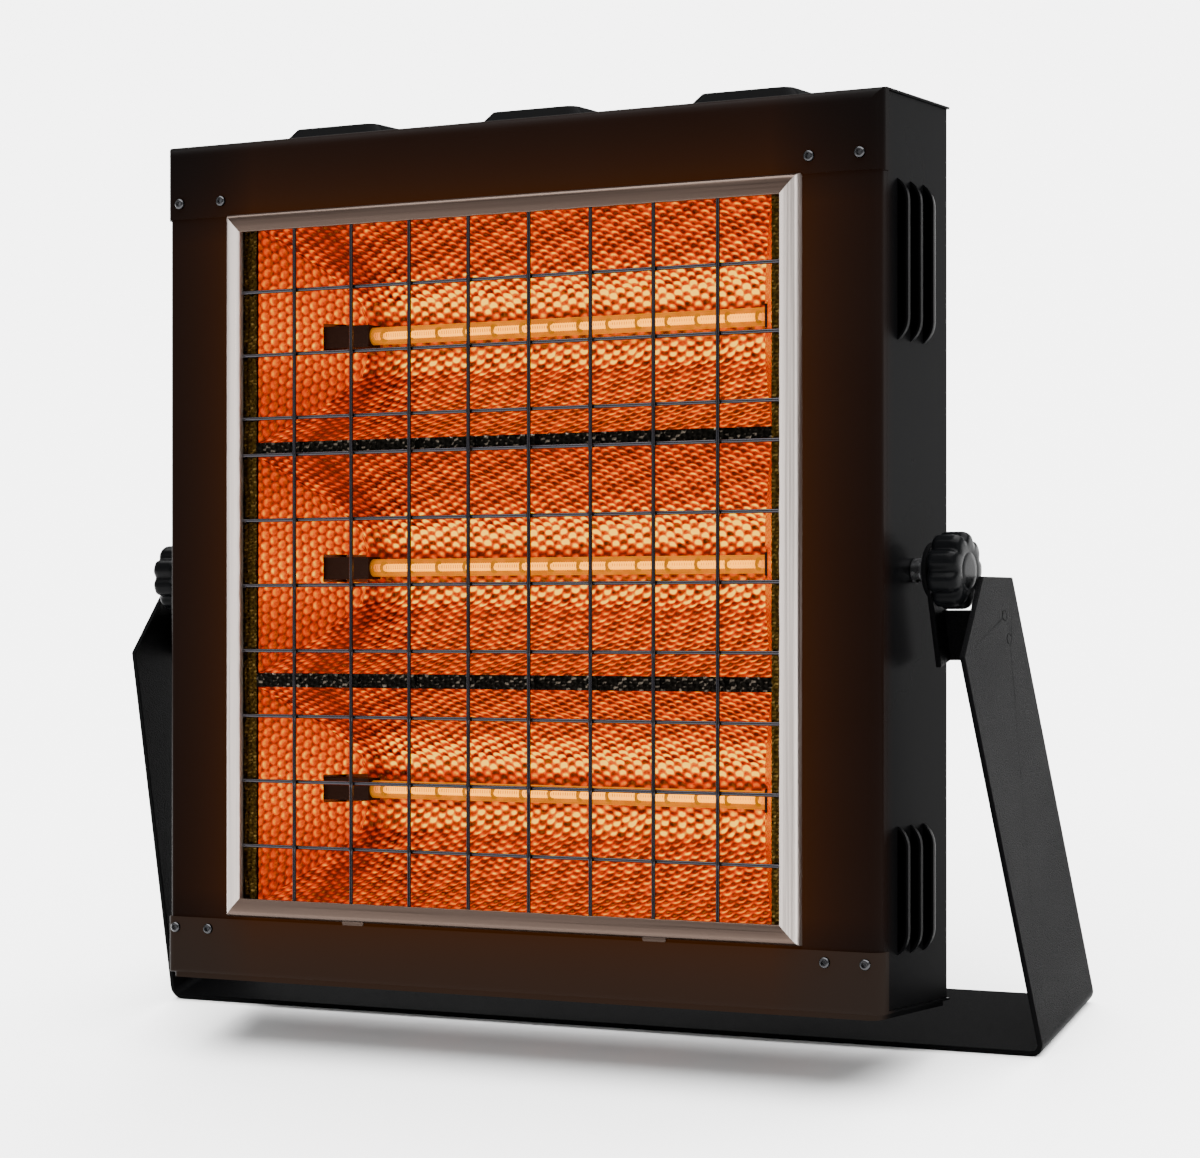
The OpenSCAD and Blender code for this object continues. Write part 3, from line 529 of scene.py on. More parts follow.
def metal_with_painted_speckles(name, dark, bright, rough):
    """Dark hammered sheet with painted highlights: its crests are painted bright where the painted lamp light
    is high.
    """

    def recipe(place):
        painted_highlight = place.painted_light() * place.noise(260.0).ramp(0.35, 0.65, 0.5, 1.1)
        base = painted_highlight.ramp(0.55, 0.95).mix(colour(*dark), colour(*bright))
        gloss = place.noise(300.0, 3.0).ramp(0.3, 0.7, rough * 0.8, rough * 1.3)
        return {"Base Color": base, "Roughness": gloss}

    return new_material(name, recipe, Metallic=1.0)


def hammered_metal(name, shade, rough, strength):
    """Hammered sheet with painted lamp light, an emission: maroon, red, orange and then yellow as that light
    grows.
    """

    def recipe(place):
        cloud = place.noise(420.0, 3.0)
        painted_light = place.painted_light() * cloud.ramp(0.3, 0.7, 0.86, 1.14)
        lit = painted_light.tones(
            (0.0, colour(0.006, 0.0, 0.0)),
            (0.14, colour(0.05, 0.002, 0.0)),
            (0.30, colour(0.25, 0.009, 0.0)),
            (0.46, colour(0.40, 0.036, 0.0)),
            (0.66, colour(0.58, 0.16, 0.0)),
            (0.92, colour(0.95, 0.52, 0.02)),
        )
        # The metal's orange tint is painted lamp light: it gives every reflection in the sheet the lamps'
        # colour.
        base = cloud.mix(scaled(shade, 0.7), colour(*shade))
        gloss = cloud.ramp(0.3, 0.7, rough * 0.8, rough * 1.3)
        return {"Base Color": base, "Roughness": gloss, "Emission Color": lit}

    return unsampled(new_material(name, recipe, Metallic=1.0, Emission_Strength=strength))


def unsampled(made):
    """Leaves a glowing finish out of the list of lights: its glow is seen, and lights things a little."""
    made.cycles.emission_sampling = "NONE"
    return made


def glowing_coil(name, strength):
    """Lit tungsten, yellow along its length and red at both ends."""

    def recipe(place):
        x, y, z = place.parts()
        cool = (x - LAMP_X / 1000).size().ramp(0.114, 0.128, 1.0, 0.25)
        tone = cool.mix(colour(1.0, 0.2, 0.0), colour(1.0, 0.66, 0.01))
        lit = tone.times(cool)
        return {"Base Color": colour(0.02, 0.01, 0.0), "Emission Color": lit}

    return unsampled(new_material(name, recipe, Roughness=0.5, Metallic=0.5, Emission_Strength=strength))


def glowing_quartz(name, strength):
    """Clear tube: mostly see-through, tinted orange, with a gloss and a soft glow."""
    made = bpy.data.materials.new(name)
    made.use_nodes = True
    tree = made.node_tree
    tree.nodes.clear()
    place = Field(tree, tree.nodes.new("ShaderNodeTexCoord").outputs["Object"])
    x, y, z = place.parts()
    lit = (x - LAMP_X / 1000).size().ramp(0.120, 0.136, 1.0, 0.06)
    cloud = place.noise(120.0, 3.0)
    edge = place.node("ShaderNodeLayerWeight", 0.35, out=1)
    tone = edge.mix(colour(0.80, 0.30, 0.0), colour(0.36, 0.05, 0.0))
    lit_tone = tone.times(lit * cloud.ramp(0.3, 0.7, 0.8, 1.2))
    skin = place.node(
        "ShaderNodeBsdfPrincipled",
        named={
            "Base Color": colour(0.02, 0.004, 0.0),
            "Roughness": 0.08,
            "Specular IOR Level": 0.12,
            "Emission Color": lit_tone,
            "Emission Strength": strength,
        },
    )
    clear = place.node("ShaderNodeBsdfTransparent", colour(1.0, 0.72, 0.30))
    share = edge.ramp(0.0, 1.0, 0.28, 0.9)
    mixed = place.node("ShaderNodeMixShader", share, clear, skin)
    output = tree.nodes.new("ShaderNodeOutputMaterial")
    tree.links.new(mixed.socket, output.inputs[0])
    return unsampled(made)


def finishes(s):
    """Every finish by name, from the colours in the settings."""
    steel, guard, shade = tuple(s.trim), tuple(s.guard), tuple(s.reflector)
    painted_shade_steel = tuple(c * k for c, k in zip(steel, LEVEL_TRIM_PAINTED_SHADE))
    return {
        # The case's front glows with painted lamp light beside the window.
        "case": case_black_with_painted_glow("satin_case_black", s.glow, (0.004, 0.0012, 0.0)),
        # The bottom cap's whole front glows grey: painted light from the lamps and the floor.
        "bottom_cap_painted_glow": case_black_with_painted_glow("satin_black_with_painted_floor_glow", s.glow, (0.060, 0.040, 0.029)),
        "yoke": powder_coat("grainy_charcoal", (0.0016, 0.0016, 0.0017), 0.34, 0.6, 1300.0, 0.006),
        # Painted shade: the level sides and the tabs wear a darker copy of the upright sides' steel.
        "trim": brushed("brushed_trim_steel", painted_shade_steel, 0.34, (6.0, 900.0, 900.0)),
        "trim_upright": brushed("brushed_trim_steel_upright", steel, 0.34, (900.0, 900.0, 6.0)),
        "guard": brushed("drawn_guard_wire", guard, 0.2, (60.0, 300.0, 60.0), streak=0.15),
        "reflector": hammered_metal("hammered_reflector", shade, 0.24, s.painted_light),
        "surround": metal_with_painted_speckles("dark_sheet_painted_speckles", (0.003, 0.0026, 0.002), (0.13, 0.105, 0.08), 0.3),
        "surround_warm": metal_with_painted_speckles("warm_sheet_painted_speckles", (0.022, 0.012, 0.002), (0.14, 0.085, 0.022), 0.3),
        "quartz": glowing_quartz("glowing_quartz", 1.6),
        "coil": glowing_coil("glowing_tungsten", 6.5),
        "support": bright_metal("coil_support", (0.05, 0.02, 0.005), 0.5),
        "ceramic": moulded("lamp_ceramic", (0.011, 0.004, 0.002), 0.7, shine=0.05),
        "zinc": bright_metal("bright_zinc", (0.30, 0.30, 0.31), 0.22),
        "screw": bright_metal("blackened_screw", (0.035, 0.035, 0.037), 0.25),
        "inner": brushed("aluminised_sheet", (0.5, 0.5, 0.5), 0.4, (30.0, 400.0, 400.0)),
        "sleeve": moulded("glass_sleeving", (0.30, 0.06, 0.03), 0.75),
        "rubber": moulded("matt_rubber", (0.015, 0.015, 0.016), 0.8),
        "plastic": moulded("satin_black_plastic", (0.0015, 0.0016, 0.0018), 0.3, 1600.0, 0.06, 0.025),
        "terminal": moulded("pale_thermoset", (0.62, 0.60, 0.54), 0.35),
        "brass": bright_metal("turned_brass", (0.75, 0.52, 0.22), 0.25),
    }


def millimetres(*lengths):
    """Settings in metres, turned into the millimetres that the case is laid out in."""
    return [1000 * length for length in lengths]


def wear(finish, *nodes):
    """Gives CAD nodes a finish in place of their plain one."""
    for name in nodes:
        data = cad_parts[name].data
        data.materials.clear()
        data.materials.append(FINISH[finish])


def soften(width, *nodes):
    """Rounds the sharp edges of CAD nodes with modifiers, and leaves their meshes alone."""
    for name in nodes:
        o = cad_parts[name]
        weld = o.modifiers.new("weld", "WELD")
        weld.merge_threshold = 1e-5
        bevel = o.modifiers.new("soft_edges", "BEVEL")
        bevel.width, bevel.segments, bevel.limit_method = width, 2, "ANGLE"
        bevel.angle_limit, bevel.harden_normals = math.radians(50), False
        bevel.use_clamp_overlap = True


# ---------------------------------------------------------------- settings


class HeaterFinishSettings(bpy.types.PropertyGroup):
    """Colours and glow that a user would change."""

    trim: bpy.props.FloatVectorProperty(
        name="Trim steel",
        description="Colour of the trim's upright sides",
        default=(0.56, 0.49, 0.45),
        min=0.0,
        max=1.0,
        size=3,
        subtype="COLOR",
    )
    guard: bpy.props.FloatVectorProperty(
        name="Guard wire",
        description="Colour of the guard's drawn wire",
        default=(0.026, 0.025, 0.029),
        min=0.0,
        max=1.0,
        size=3,
        subtype="COLOR",
    )
    # Painted lamp light: the sheets' orange tint stands in for the lamps' colour in their reflections.
    reflector: bpy.props.FloatVectorProperty(
        name="Reflector metal",
        description="Colour of the hammered sheets where the lamps don't light them",
        default=(0.10, 0.022, 0.0),
        min=0.0,
        max=1.0,
        size=3,
        subtype="COLOR",
    )
    glow: bpy.props.FloatVectorProperty(
        name="Case glow",
        description="Colour of the lamps' light on the case beside the window",
        default=(0.15, 0.036, 0.0),
        min=0.0,
        max=1.0,
        size=3,
        subtype="COLOR",
    )
    # Strength of the painted lamp light, an emission on the hammered reflector sheets.
    painted_light: bpy.props.FloatProperty(
        name="Reflector glow",
        description="Strength of the lamps' light on the hammered sheets",
        default=2.6,
        min=0.0,
        max=10.0,
        subtype="FACTOR",
    )


class HeaterReflectorSettings(bpy.types.PropertyGroup):
    """Sizes of the hammered sheets."""

    pitch: bpy.props.FloatProperty(
        name="Dimple pitch",
        description="Distance between neighbouring dimples",
        default=0.006,
        min=0.002,
        max=0.01,
        precision=5,
        subtype="DISTANCE",
    )
    depth: bpy.props.FloatProperty(
        name="Dimple depth",
        description="Depth of a dimple",
        default=0.00046,
        min=0.0,
        max=0.001,
        precision=5,
        subtype="DISTANCE",
    )
    step: bpy.props.FloatProperty(
        name="Mesh step",
        description="Distance between mesh points",
        default=0.00086,
        min=0.0005,
        max=0.003,
        precision=5,
        subtype="DISTANCE",
    )


class HeaterLampSettings(bpy.types.PropertyGroup):
    """Sizes of the glowing coils."""

    coil_radius: bpy.props.FloatProperty(
        name="Coil radius",
        description="Radius of the coil",
        default=0.0019,
        min=0.0005,
        max=0.003,
        precision=5,
        subtype="DISTANCE",
    )
    wire_radius: bpy.props.FloatProperty(
        name="Coil wire radius",
        description="Radius of the coil's wire",
        default=0.00042,
        min=0.0001,
        max=0.001,
        precision=5,
        subtype="DISTANCE",
    )
    coil_pitch: bpy.props.FloatProperty(
        name="Coil pitch",
        description="Distance between turns",
        default=0.0015,
        min=0.0005,
        max=0.005,
        precision=5,
        subtype="DISTANCE",
    )


class HeaterTrimSettings(bpy.types.PropertyGroup):
    """Sizes of the trim frame and guard."""

    proud: bpy.props.FloatProperty(
        name="Trim height",
        description="Distance that the trim stands proud",
        default=0.0055,
        min=0.002,
        max=0.008,
        precision=5,
        subtype="DISTANCE",
    )
    edge_radius: bpy.props.FloatProperty(
        name="Trim edge radius",
        description="Rounding of the trim's outer edge",
        default=0.0024,
        min=0.0002,
        max=0.004,
        precision=5,
        subtype="DISTANCE",
    )
    wire_radius: bpy.props.FloatProperty(
        name="Guard wire radius",
        description="Radius of a guard wire",
        default=0.0011,
        min=0.0005,
        max=0.002,
        precision=5,
        subtype="DISTANCE",
    )
    weld_bulge: bpy.props.FloatProperty(
        name="Weld bulge",
        description="Growth of a wire's radius at a weld",
        default=0.00022,
        min=0.0,
        max=0.001,
        precision=5,
        subtype="DISTANCE",
    )


class HeaterKnobSettings(bpy.types.PropertyGroup):
    """Sizes of the clamp knobs."""

    radius: bpy.props.FloatProperty(
        name="Knob radius",
        description="Outer radius of a clamp knob",
        default=0.0205,
        min=0.015,
        max=0.025,
        precision=5,
        subtype="DISTANCE",
    )
    groove: bpy.props.FloatProperty(
        name="Groove depth",
        description="Depth of the grooves between lobes",
        default=0.0026,
        min=0.0005,
        max=0.005,
        precision=5,
        subtype="DISTANCE",
    )
    lobes: bpy.props.IntProperty(
        name="Lobes",
        description="Number of lobes round a clamp knob",
        default=9,
        min=5,
        max=12,
    )


class HeaterStageSettings(bpy.types.PropertyGroup):
    """Camera."""

    focal: bpy.props.FloatProperty(
        name="Focal length",
        description="Focal length of the camera",
        default=100.56,
        min=20.0,
        max=300.0,
        unit="CAMERA",
    )
    rise: bpy.props.FloatProperty(
        name="Vertical shift",
        description="Vertical shift of the camera as a share of its width",
        default=0.03875,
        min=-0.2,
        max=0.2,
        precision=5,
        subtype="FACTOR",
    )


# ---------------------------------------------------------------- operators


class HeaterOperator(bpy.types.Operator):
    """Shared behaviour: build the pieces, and stop with a message if that fails."""

    bl_options = {"REGISTER", "UNDO"}

    def build(self, scene):
        raise NotImplementedError

    def execute(self, context):
        self.build(context.scene)
        return {"FINISHED"}


class HEATER_OT_finishes(HeaterOperator):
    """Makes every finish from the colours in the settings"""

    bl_idname = "heater.finishes"
    bl_label = "Finishes"

    def build(self, scene):
        FINISH.update(finishes(scene.heater_finishes))


class HEATER_OT_yoke(HeaterOperator):
    """Finishes the bent yoke, its pivot brackets and their rivets"""

    bl_idname = "heater.yoke"
    bl_label = "Yoke"

    def build(self, scene):
        wear("yoke", "yoke", "left_pivot_bracket", "right_pivot_bracket", "bracket_rivets")
        soften(0.0006, "yoke", "left_pivot_bracket", "right_pivot_bracket")


class HEATER_OT_case(HeaterOperator):
    """Finishes the painted case, its caps and the connection box"""

    bl_idname = "heater.case"
    bl_label = "Case"

    def build(self, scene):
        wear("case", "rear_casing", "front_panel", "top_cap", "vent_hoods", "connection_box")
        # The bottom cap wears painted light from the lamps and the floor.
        wear("bottom_cap_painted_glow", "bottom_cap")
        wear("inner", "left_lamp_rail", "right_lamp_rail", "heat_shield")
        wear("sleeve", "lamp_leads")
        wear("rubber", "lead_grommet", "gland_seal", "left_friction_washer", "right_friction_washer")
        wear("plastic", "gland_body", "gland_dome_nut")
        wear("terminal", "terminal_block")
        wear("zinc", "box_screws", "cap_screws", "stud_nuts")


class HEATER_OT_screws(HeaterOperator):
    """Makes the eight socket screws of the two caps"""

    bl_idname = "heater.screws"
    bl_label = "Screws"

    def build(self, scene):
        # A screw's head as radius and height. Its first four points are the socket, a hexagon.
        socket_points = [[0.0, 0.9], [1.45, 0.9], [1.5, 0.95], [1.5, 2.0]]
        dome_points = [[1.7, 2.05], [2.2, 1.95], [2.75, 1.55], [3.0, 0.9], [3.0, 0.0], [0.0, 0.0]]
        radius, height = np.array(socket_points + dome_points).T
        angle = np.linspace(0, 2 * math.pi, 36, endpoint=False)
        hexagon = math.cos(math.pi / 6) / np.cos(np.mod(angle, math.pi / 3) - math.pi / 6)
        socket = (np.arange(len(radius)) < len(socket_points))[:, None]
        r = radius[:, None] * np.where(socket, hexagon[None] * 1.08, 1.0)
        h = np.broadcast_to(height[:, None], r.shape)
        heads = []
        for z, xs in ((446, (187, 216)), (29, (196, 219))):
            for x in xs:
                for side in (-1, 1):
                    across, up = side * x + r * np.cos(angle), z + r * np.sin(angle)
                    heads.append(np.stack([across, CAP_FACE - h, up], -1))
        points, faces = many_grids(np.array(heads), (False, True))
        made = as_object("socket_screws", [(lean_back(points), faces)], FINISH["screw"], crease=35)
        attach(made, "heater")
        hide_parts("cap_screws")


class HEATER_OT_reflectors(HeaterOperator):
    """Makes the hammered reflectors, their end panels and the strips round them"""

    bl_idname = "heater.reflectors"
    bl_label = "Reflectors"

    def build(self, scene):
        s = scene.heater_reflectors
        pitch, depth, step = millimetres(s.pitch, s.depth, s.step)
        metal = FINISH["reflector"]
        wear("reflector", *(f"{level}_reflector" for level in LEVELS))
        wear("reflector", "left_reflector_ends", "right_reflector_ends")
        for name, z, lamp in zip(LEVELS, REFLECTOR_Z, LAMP_Z):
            skin, painted_light = trough_skin(z, lamp, pitch, depth, step)
            points, faces = many_grids(skin)
            parts = [(lean_back(points), faces[:, ::-1])]
            made = as_object(f"{name}_hammered_reflector", parts, metal, False, 70, painted_light)
            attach(made, "heater")
            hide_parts(f"{name}_reflector")
        for side, label in ((-1, "left"), (1, "right")):
            parts, painted_lights = [], []
            for z, lamp in zip(REFLECTOR_Z, LAMP_Z):
                skin, keep, painted_light = end_skin(side, z, lamp, pitch, depth, step)
                points, faces = many_grids(skin, keep=keep)
                parts.append((lean_back(points), faces[:, ::-1] if side > 0 else faces))
                painted_lights.append(painted_light.ravel())
            made = as_object(f"{label}_hammered_ends", parts, metal, False, 70, np.concatenate(painted_lights))
            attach(made, "heater")
            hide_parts(f"{label}_reflector_ends")
        wear("surround", "reflector_surround")
        uprights = [(-196, -164, 36.5, 439.5), (164, 196, 36.5, 439.5)]
        levels = [(-164, 164, z0, z1) for z0, z1 in ((168, 176), (299, 307), (36.6, 45), (430, 439.4))]
        kinds = (("upright", uprights, "surround_warm"), ("level", levels, "surround"))
        for label, strips, finish in kinds:
            parts, painted_lights = [], []
            for x0, x1, z0, z1 in strips:
                skin, painted_light = flat_skin(x0, x1, z0, z1, 1.0, pitch * 0.62, depth, 0.8)
                points, faces = many_grids(skin)
                parts.append((lean_back(points), faces))
                painted_lights.append(painted_light.ravel())
            painted_lights = np.concatenate(painted_lights)
            made = as_object(f"hammered_{label}_strips", parts, FINISH[finish], False, 70, painted_lights)
            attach(made, "heater")


class HEATER_OT_lamps(HeaterOperator):
    """Makes the glowing coils and finishes the quartz tubes and ceramics"""

    bl_idname = "heater.lamps"
    bl_label = "Lamps"

    def build(self, scene):
        s = scene.heater_lamps
        coil_radius, wire_radius, coil_pitch = millimetres(s.coil_radius, s.wire_radius, s.coil_pitch)
        wear("quartz", *(f"{level}_lamp_tube" for level in LEVELS))
        wear("coil", *(f"{level}_filament" for level in LEVELS))
        wear("ceramic", "lamp_ceramics")
        # Half the coil's length and the distance between its supports, where the coil is pinched.
        half, pitch = 126.5, 18.5
        turns = 2 * half / coil_pitch
        t = np.linspace(0, 1, int(turns * 14))
        x = -half + 2 * half * t
        near = np.exp(-((((x / pitch) - np.floor(x / pitch) - 0.5) * pitch / 0.9) ** 2))
        radius = coil_radius * (1 - 0.35 * near)
        phase = 2 * math.pi * turns * t
        angle = np.linspace(0, 2 * math.pi, 6, endpoint=False)
        radial = np.stack([0 * phase, np.cos(phase), np.sin(phase)], -1)
        along = np.array([1.0, 0, 0])
        disc = lathe([[-0.3, 1e-4], [-0.3, 3.9], [0.3, 3.9], [0.3, 1e-4]], 20, (0, 0, 0))
        steps = LAMP_X + (np.arange(14) - 6.5) * pitch
        discs = disc[None] + np.stack([steps, 0 * steps, 0 * steps], -1)[:, None, None]
        ring = radial[:, None] * np.cos(angle)[None, :, None] + along * np.sin(angle)[None, :, None]
        for name, z in zip(LEVELS, LAMP_Z):
            y_turn, z_turn = radius * np.cos(phase), radius * np.sin(phase)
            centre = np.stack([x + LAMP_X, LAMP_Y + y_turn, z + z_turn], -1)
            tube = centre[:, None] + wire_radius * ring
            points, faces = many_grids(tube[None], (False, True))
            made = as_object(f"{name}_coil", [(lean_back(points), faces)], FINISH["coil"], crease=80)
            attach(made, "heater")
            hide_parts(f"{name}_filament")
            points, faces = many_grids(discs + np.array([0, LAMP_Y, z]), (False, True))
            made = as_object(f"{name}_coil_supports", [(lean_back(points), faces)], FINISH["support"])
            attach(made, "heater")


class HEATER_OT_trim(HeaterOperator):
    """Makes the mitred trim frame round the window and its two tabs"""

    bl_idname = "heater.trim"
    bl_label = "Trim"

    def build(self, scene):
        s = scene.heater_trim
        proud, r = millimetres(s.proud, s.edge_radius)
        wear("trim_upright", "trim_frame")
        # Section across one side: the distance out from the opening's edge and the height above the front.
        section = rounded(
            [
                *([1.0, 0.1], [0.0, 2.0], [0.0, proud - 0.2], [3.0, proud], [9.6, proud - 0.4], [10.9, 0.05]),
                *([9.9, 0.05], [9.0, proud - 1.6], [3.0, proud - 1.1], [1.0, proud - 1.2], [1.0, 0.1]),
            ],
            [0.5, 0.5, 1.0, r, 0.2, 0.2, 0.8, 0.5, 0.5],
            5,
        )[:-1]
        out, high = section.T
        half, z0, z1 = WINDOW
        corners = np.array([[-half, z0], [half, z0], [half, z1], [-half, z1]])
        aim = np.array([[-1, -1], [1, -1], [1, 1], [-1, 1]])
        sides = []
        for k in range(4):
            a, b = corners[k], corners[(k + 1) % 4]
            t = np.linspace(0, 1, 60)[:, None, None]
            start, end = a + out[:, None] * aim[k], b + out[:, None] * aim[(k + 1) % 4]
            flat = start[None] * (1 - t) + end[None] * t
            wave = 0.16 * np.sin(t[..., 0] * 97) * np.exp(-(((out - 0.2) / 0.8) ** 2))[None]
            normal = aim[k] * ([0, 1] if k % 2 == 0 else [1, 0])
            flat = flat + wave[..., None] * normal * np.sin(t * math.pi)
            sides.append(np.stack([flat[..., 0], -np.broadcast_to(high, flat.shape[:2]), flat[..., 1]], -1))
        # The level sides wear the painted shade copy of the steel.
        for label, picked, finish in (("level", (0, 2), "trim"), ("upright", (1, 3), "trim_upright")):
            points, faces = many_grids(np.array([sides[k] for k in picked]), (False, True))
            made = as_object(f"trim_{label}_sides", [(lean_back(points), faces)], FINISH[finish], crease=30)
            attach(made, "heater")
            if label == "level":
                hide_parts("trim_frame")
        tab = rounded([[0, -7], [-5, -7], [-5, 7], [0, 7]], [1.2, 1.2], 5)
        x, z = tab[:, 1], tab[:, 0]
        # The tab's two faces, each closed to a point: the share of the outline and the height.
        loops = [(0, 1.5), (1, 1.5), (1, 2.4), (0, 2.4)]
        rings = [np.stack([x * share, np.full_like(x, -h), z * share + 40.2], -1) for share, h in loops]
        tabs = np.array([np.array(rings) + [side * 96, 0, 0] for side in (-1, 1)])
        points, faces = many_grids(tabs, (False, True))
        made = as_object("trim_tabs", [(lean_back(points), faces)], FINISH["trim"])
        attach(made, "heater")


class HEATER_OT_guard(HeaterOperator):
    """Makes the welded wire guard"""

    bl_idname = "heater.guard"
    bl_label = "Guard"

    def build(self, scene):
        s = scene.heater_trim
        r, bulge = millimetres(s.wire_radius, s.weld_bulge)
        wear("guard", "wire_guard")
        up_x = (np.arange(8) - 3.5) * 38.5
        cross_z = np.concatenate([77.7 + 37 * np.arange(7), 320.5 + 36 * np.arange(3)])
        y_up, y_cross = -3.4, -1.3
        z0, z1, edge = 44.0, 430.5, 175.5
        ends = np.stack([up_x, 0 * up_x + y_up, 0 * up_x + z0], -1)
        parts = [rods(ends, ends + [0, 0, z1 - z0], r, cross_z - z0, bulge, 420)]
        ends = np.stack([0 * cross_z - edge, 0 * cross_z + y_cross, cross_z], -1)
        parts.append(rods(ends, ends + [2 * edge, 0, 0], r, up_x + edge, bulge, 380))
        border = [[-edge, -2.8, z0], [edge, -2.8, z0], [edge, -2.8, z1], [-edge, -2.8, z1]]
        starts, stops = np.array(border), np.roll(np.array(border), -1, axis=0)
        parts.append(rods(starts, stops, r, [], 0.0, 12))
        made = as_object("welded_guard", [(lean_back(p), f) for p, f in parts], FINISH["guard"], crease=60)
        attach(made, "heater")
        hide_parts("wire_guard")


class HEATER_OT_knobs(HeaterOperator):
    """Makes the lobed clamp knobs and the studs with their collars"""

    bl_idname = "heater.knobs"
    bl_label = "Knobs"

    def build(self, scene):
        s = scene.heater_knobs
        knob_radius, groove = millimetres(s.radius, s.groove)
        wear("brass", "left_knob_insert", "right_knob_insert")
        wear("plastic", "left_knob", "right_knob")
        wear("zinc", "left_stud", "right_stud")
        # Knob outline: distance along the stud, radius, and how strongly the lobes show there.
        hub = [[2.0, 6.1, 0], [0.05, 6.1, 0], [0.0, 8.6, 0], [0.25, 9.0, 0], [1.3, 9.1, 0]]
        back = [[1.5, 10.0, 0.1], [1.5, 16.5, 0.8], [1.8, 18.8, 0.95], [2.6, 20.0, 1], [4.0, 20.4, 1]]
        grip = [[4.0 + 1.5 * i, 20.4, 1] for i in range(1, 7)]
        shoulder = [[14.4, 20.2, 1], [15.8, 19.6, 1], [16.9, 18.4, 0.9], [17.6, 16.6, 0.7]]
        face = [[17.95, 14.0, 0.4], [18.1, 11.0, 0.1], [17.9, 9.8, 0], [17.85, 9.4, 0]]
        middle = [[18.1, 9.0, 0], [18.2, 6.0, 0], [18.2, 0.0, 0]]
        along, radius, lobed = np.array(hub + back + grip + shoulder + face + middle).T
        angle = np.linspace(0, 2 * math.pi, 216, endpoint=False)
        valley = 0.5 + 0.5 * np.cos(s.lobes * angle + math.pi)
        dip = groove * valley[None] ** 2.2 * lobed[:, None]
        r = radius[:, None] * knob_radius / 20.5 - dip
        turned = angle + math.radians(2)
        for side, label in ((-1, "left"), (1, "right")):
            x = side * (SIDE_X + 13.3 + along[:, None]) + 0 * r
            shape = np.stack([x, AXIS_Y + r * np.cos(turned), AXIS_Z + r * np.sin(turned)], -1)
            points, faces = many_grids(shape[None], (False, True))
            parts = [(lean_back(points), faces)]
            made = as_object(f"{label}_lobed_knob", parts, FINISH["plastic"], crease=50)
            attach(made, f"{label}_clamp")
            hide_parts(f"{label}_knob")
            # Stud: collar, plain neck and a thread whose ridge climbs by one pitch a turn.
            collar = [[0.05, 4.0], [0.05, 6.0], [0.4, 6.5], [7.4, 6.5], [7.8, 6.1], [7.85, 4.0]]
            neck = [[-11.2, 0.0], [-11.2, 3.4], [-10.8, 4.0], *collar, [13.3, 4.0], [13.4, 3.6]]
            smooth = lathe(neck, 48, (side * SIDE_X, AXIS_Y, AXIS_Z), side)
            t = np.linspace(13.4, 26.6, 120)
            turn = np.linspace(0, 2 * math.pi, 48, endpoint=False)
            ridge = np.abs(((t[:, None] / 1.25 - turn[None] / (2 * math.pi)) % 1.0) * 2 - 1)
            rr = 3.45 + 0.5 * ridge
            rr[0], rr[-1] = 3.6, 0.0
            x = side * (SIDE_X + t[:, None]) + 0 * rr
            thread = np.stack([x, AXIS_Y + rr * np.cos(turn), AXIS_Z + rr * np.sin(turn)], -1)
            parts = [many_grids(g[None], (False, True)) for g in (smooth, thread)]
            parts = [(lean_back(p), f) for p, f in parts]
            made = as_object(f"{label}_threaded_stud", parts, FINISH["zinc"], crease=35)
            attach(made, "heater")
            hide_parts(f"{label}_stud")


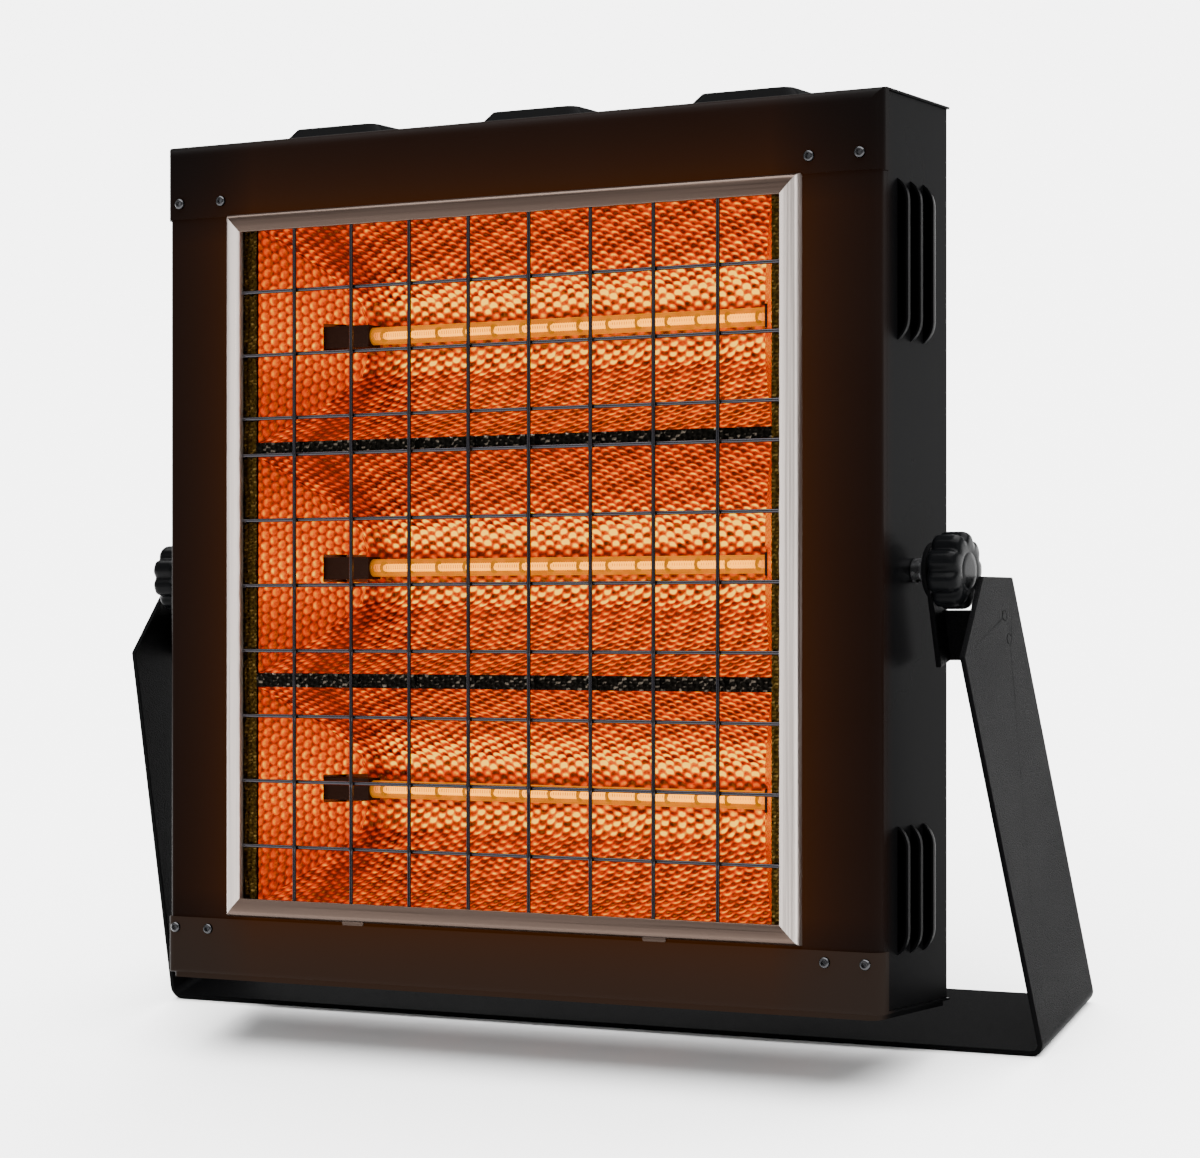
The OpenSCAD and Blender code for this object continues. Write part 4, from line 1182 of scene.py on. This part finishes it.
class HEATER_OT_stage(HeaterOperator):
    """Sets the pale floor, the soft lights and the camera"""

    bl_idname = "heater.stage"
    bl_label = "Stage"

    def build(self, scene):
        s = scene.heater_stage
        world = bpy.data.worlds.new("soft_studio")
        world.use_nodes = True
        sky = world.node_tree.nodes["Background"]
        sky.inputs["Color"].default_value = (1.0, 1.0, 1.0, 1.0)
        sky.inputs["Strength"].default_value = 0.8
        scene.world = world
        size = 14.0
        t = np.linspace(-size, size, 3)
        xx, yy = np.meshgrid(t, t, indexing="ij")
        points, faces = many_grids(np.stack([xx, yy, 0 * xx - 0.0002], -1)[None])

        def pale(place):
            fine = place.noise(20.0)
            return {"Base Color": fine.mix(colour(0.93, 0.93, 0.93), colour(0.95, 0.95, 0.95))}

        finish = new_material("pale_floor", pale, Roughness=0.9)
        floor = as_object("studio_floor", [(points, faces[:, ::-1])], finish, outward=False)
        sun = bpy.data.lights.new("overhead_softbox", "SUN")
        sun.energy, sun.angle = 18.0, math.radians(90)
        soft = bpy.data.objects.new("overhead_softbox", sun)
        scene.collection.objects.link(soft)
        soft.rotation_euler = (math.radians(-14), math.radians(6), 0)
        for name, at, aim, width, power in (
            ("front_fill", (-1.9, -2.4, 1.3), (0, 0, 0.25), 1.4, 14.0),
            ("side_fill", (2.4, -0.9, 1.1), (0.1, 0, 0.25), 0.9, 7.0),
        ):
            data = bpy.data.lights.new(name, "AREA")
            data.shape, data.size, data.energy = "DISK", width, power
            lamp = bpy.data.objects.new(name, data)
            scene.collection.objects.link(lamp)
            lamp.location = at
            lamp.rotation_euler = (Vector(aim) - Vector(at)).to_track_quat("-Z", "Y").to_euler()
        data = bpy.data.cameras.new("camera")
        data.lens, data.sensor_width, data.shift_y = s.focal, 36.0, s.rise
        camera = bpy.data.objects.new("camera", data)
        scene.collection.objects.link(camera)
        right = Vector((0.86937, 0.47319, -0.14242))
        up = Vector((0.0, 0.28820, 0.95757))
        ahead = Vector((-0.49416, 0.83248, -0.25055))
        turn = Matrix((right, up, -ahead)).transposed().to_4x4()
        camera.matrix_world = Matrix.Translation((0.9501, -1.5473, 0.6908)) @ turn
        scene.camera = camera


GROUPS = {
    "heater_finishes": HeaterFinishSettings,
    "heater_reflectors": HeaterReflectorSettings,
    "heater_lamps": HeaterLampSettings,
    "heater_trim": HeaterTrimSettings,
    "heater_knobs": HeaterKnobSettings,
    "heater_stage": HeaterStageSettings,
}
OPERATORS = (
    HEATER_OT_finishes,
    HEATER_OT_yoke,
    HEATER_OT_case,
    HEATER_OT_screws,
    HEATER_OT_reflectors,
    HEATER_OT_lamps,
    HEATER_OT_trim,
    HEATER_OT_guard,
    HEATER_OT_knobs,
    HEATER_OT_stage,
)


class HEATER_PT_panel(bpy.types.Panel):
    """Lists the heater's pieces and their settings"""

    bl_idname = "HEATER_PT_panel"
    bl_label = "Outdoor Heater"
    bl_space_type = "VIEW_3D"
    bl_region_type = "UI"
    bl_category = "Heater"

    def draw(self, context):
        for operator in OPERATORS:
            self.layout.operator(operator.bl_idname)
        for name, group in GROUPS.items():
            for prop in group.__annotations__:
                self.layout.prop(getattr(context.scene, name), prop)


def register():
    for group in (*GROUPS.values(), *OPERATORS, HEATER_PT_panel):
        bpy.utils.register_class(group)
    for name, group in GROUPS.items():
        setattr(bpy.types.Scene, name, bpy.props.PointerProperty(type=group))


def unregister():
    for name in GROUPS:
        delattr(bpy.types.Scene, name)
    for group in (HEATER_PT_panel, *reversed(OPERATORS), *reversed(GROUPS.values())):
        bpy.utils.unregister_class(group)


def main():
    register()
    for operator in OPERATORS:
        step = operator.bl_idname.split(".")[1]
        if getattr(bpy.ops.heater, step)() != {"FINISHED"}:
            raise RuntimeError(f"{operator.bl_idname} did not finish")


if __name__ == "__main__":
    main()
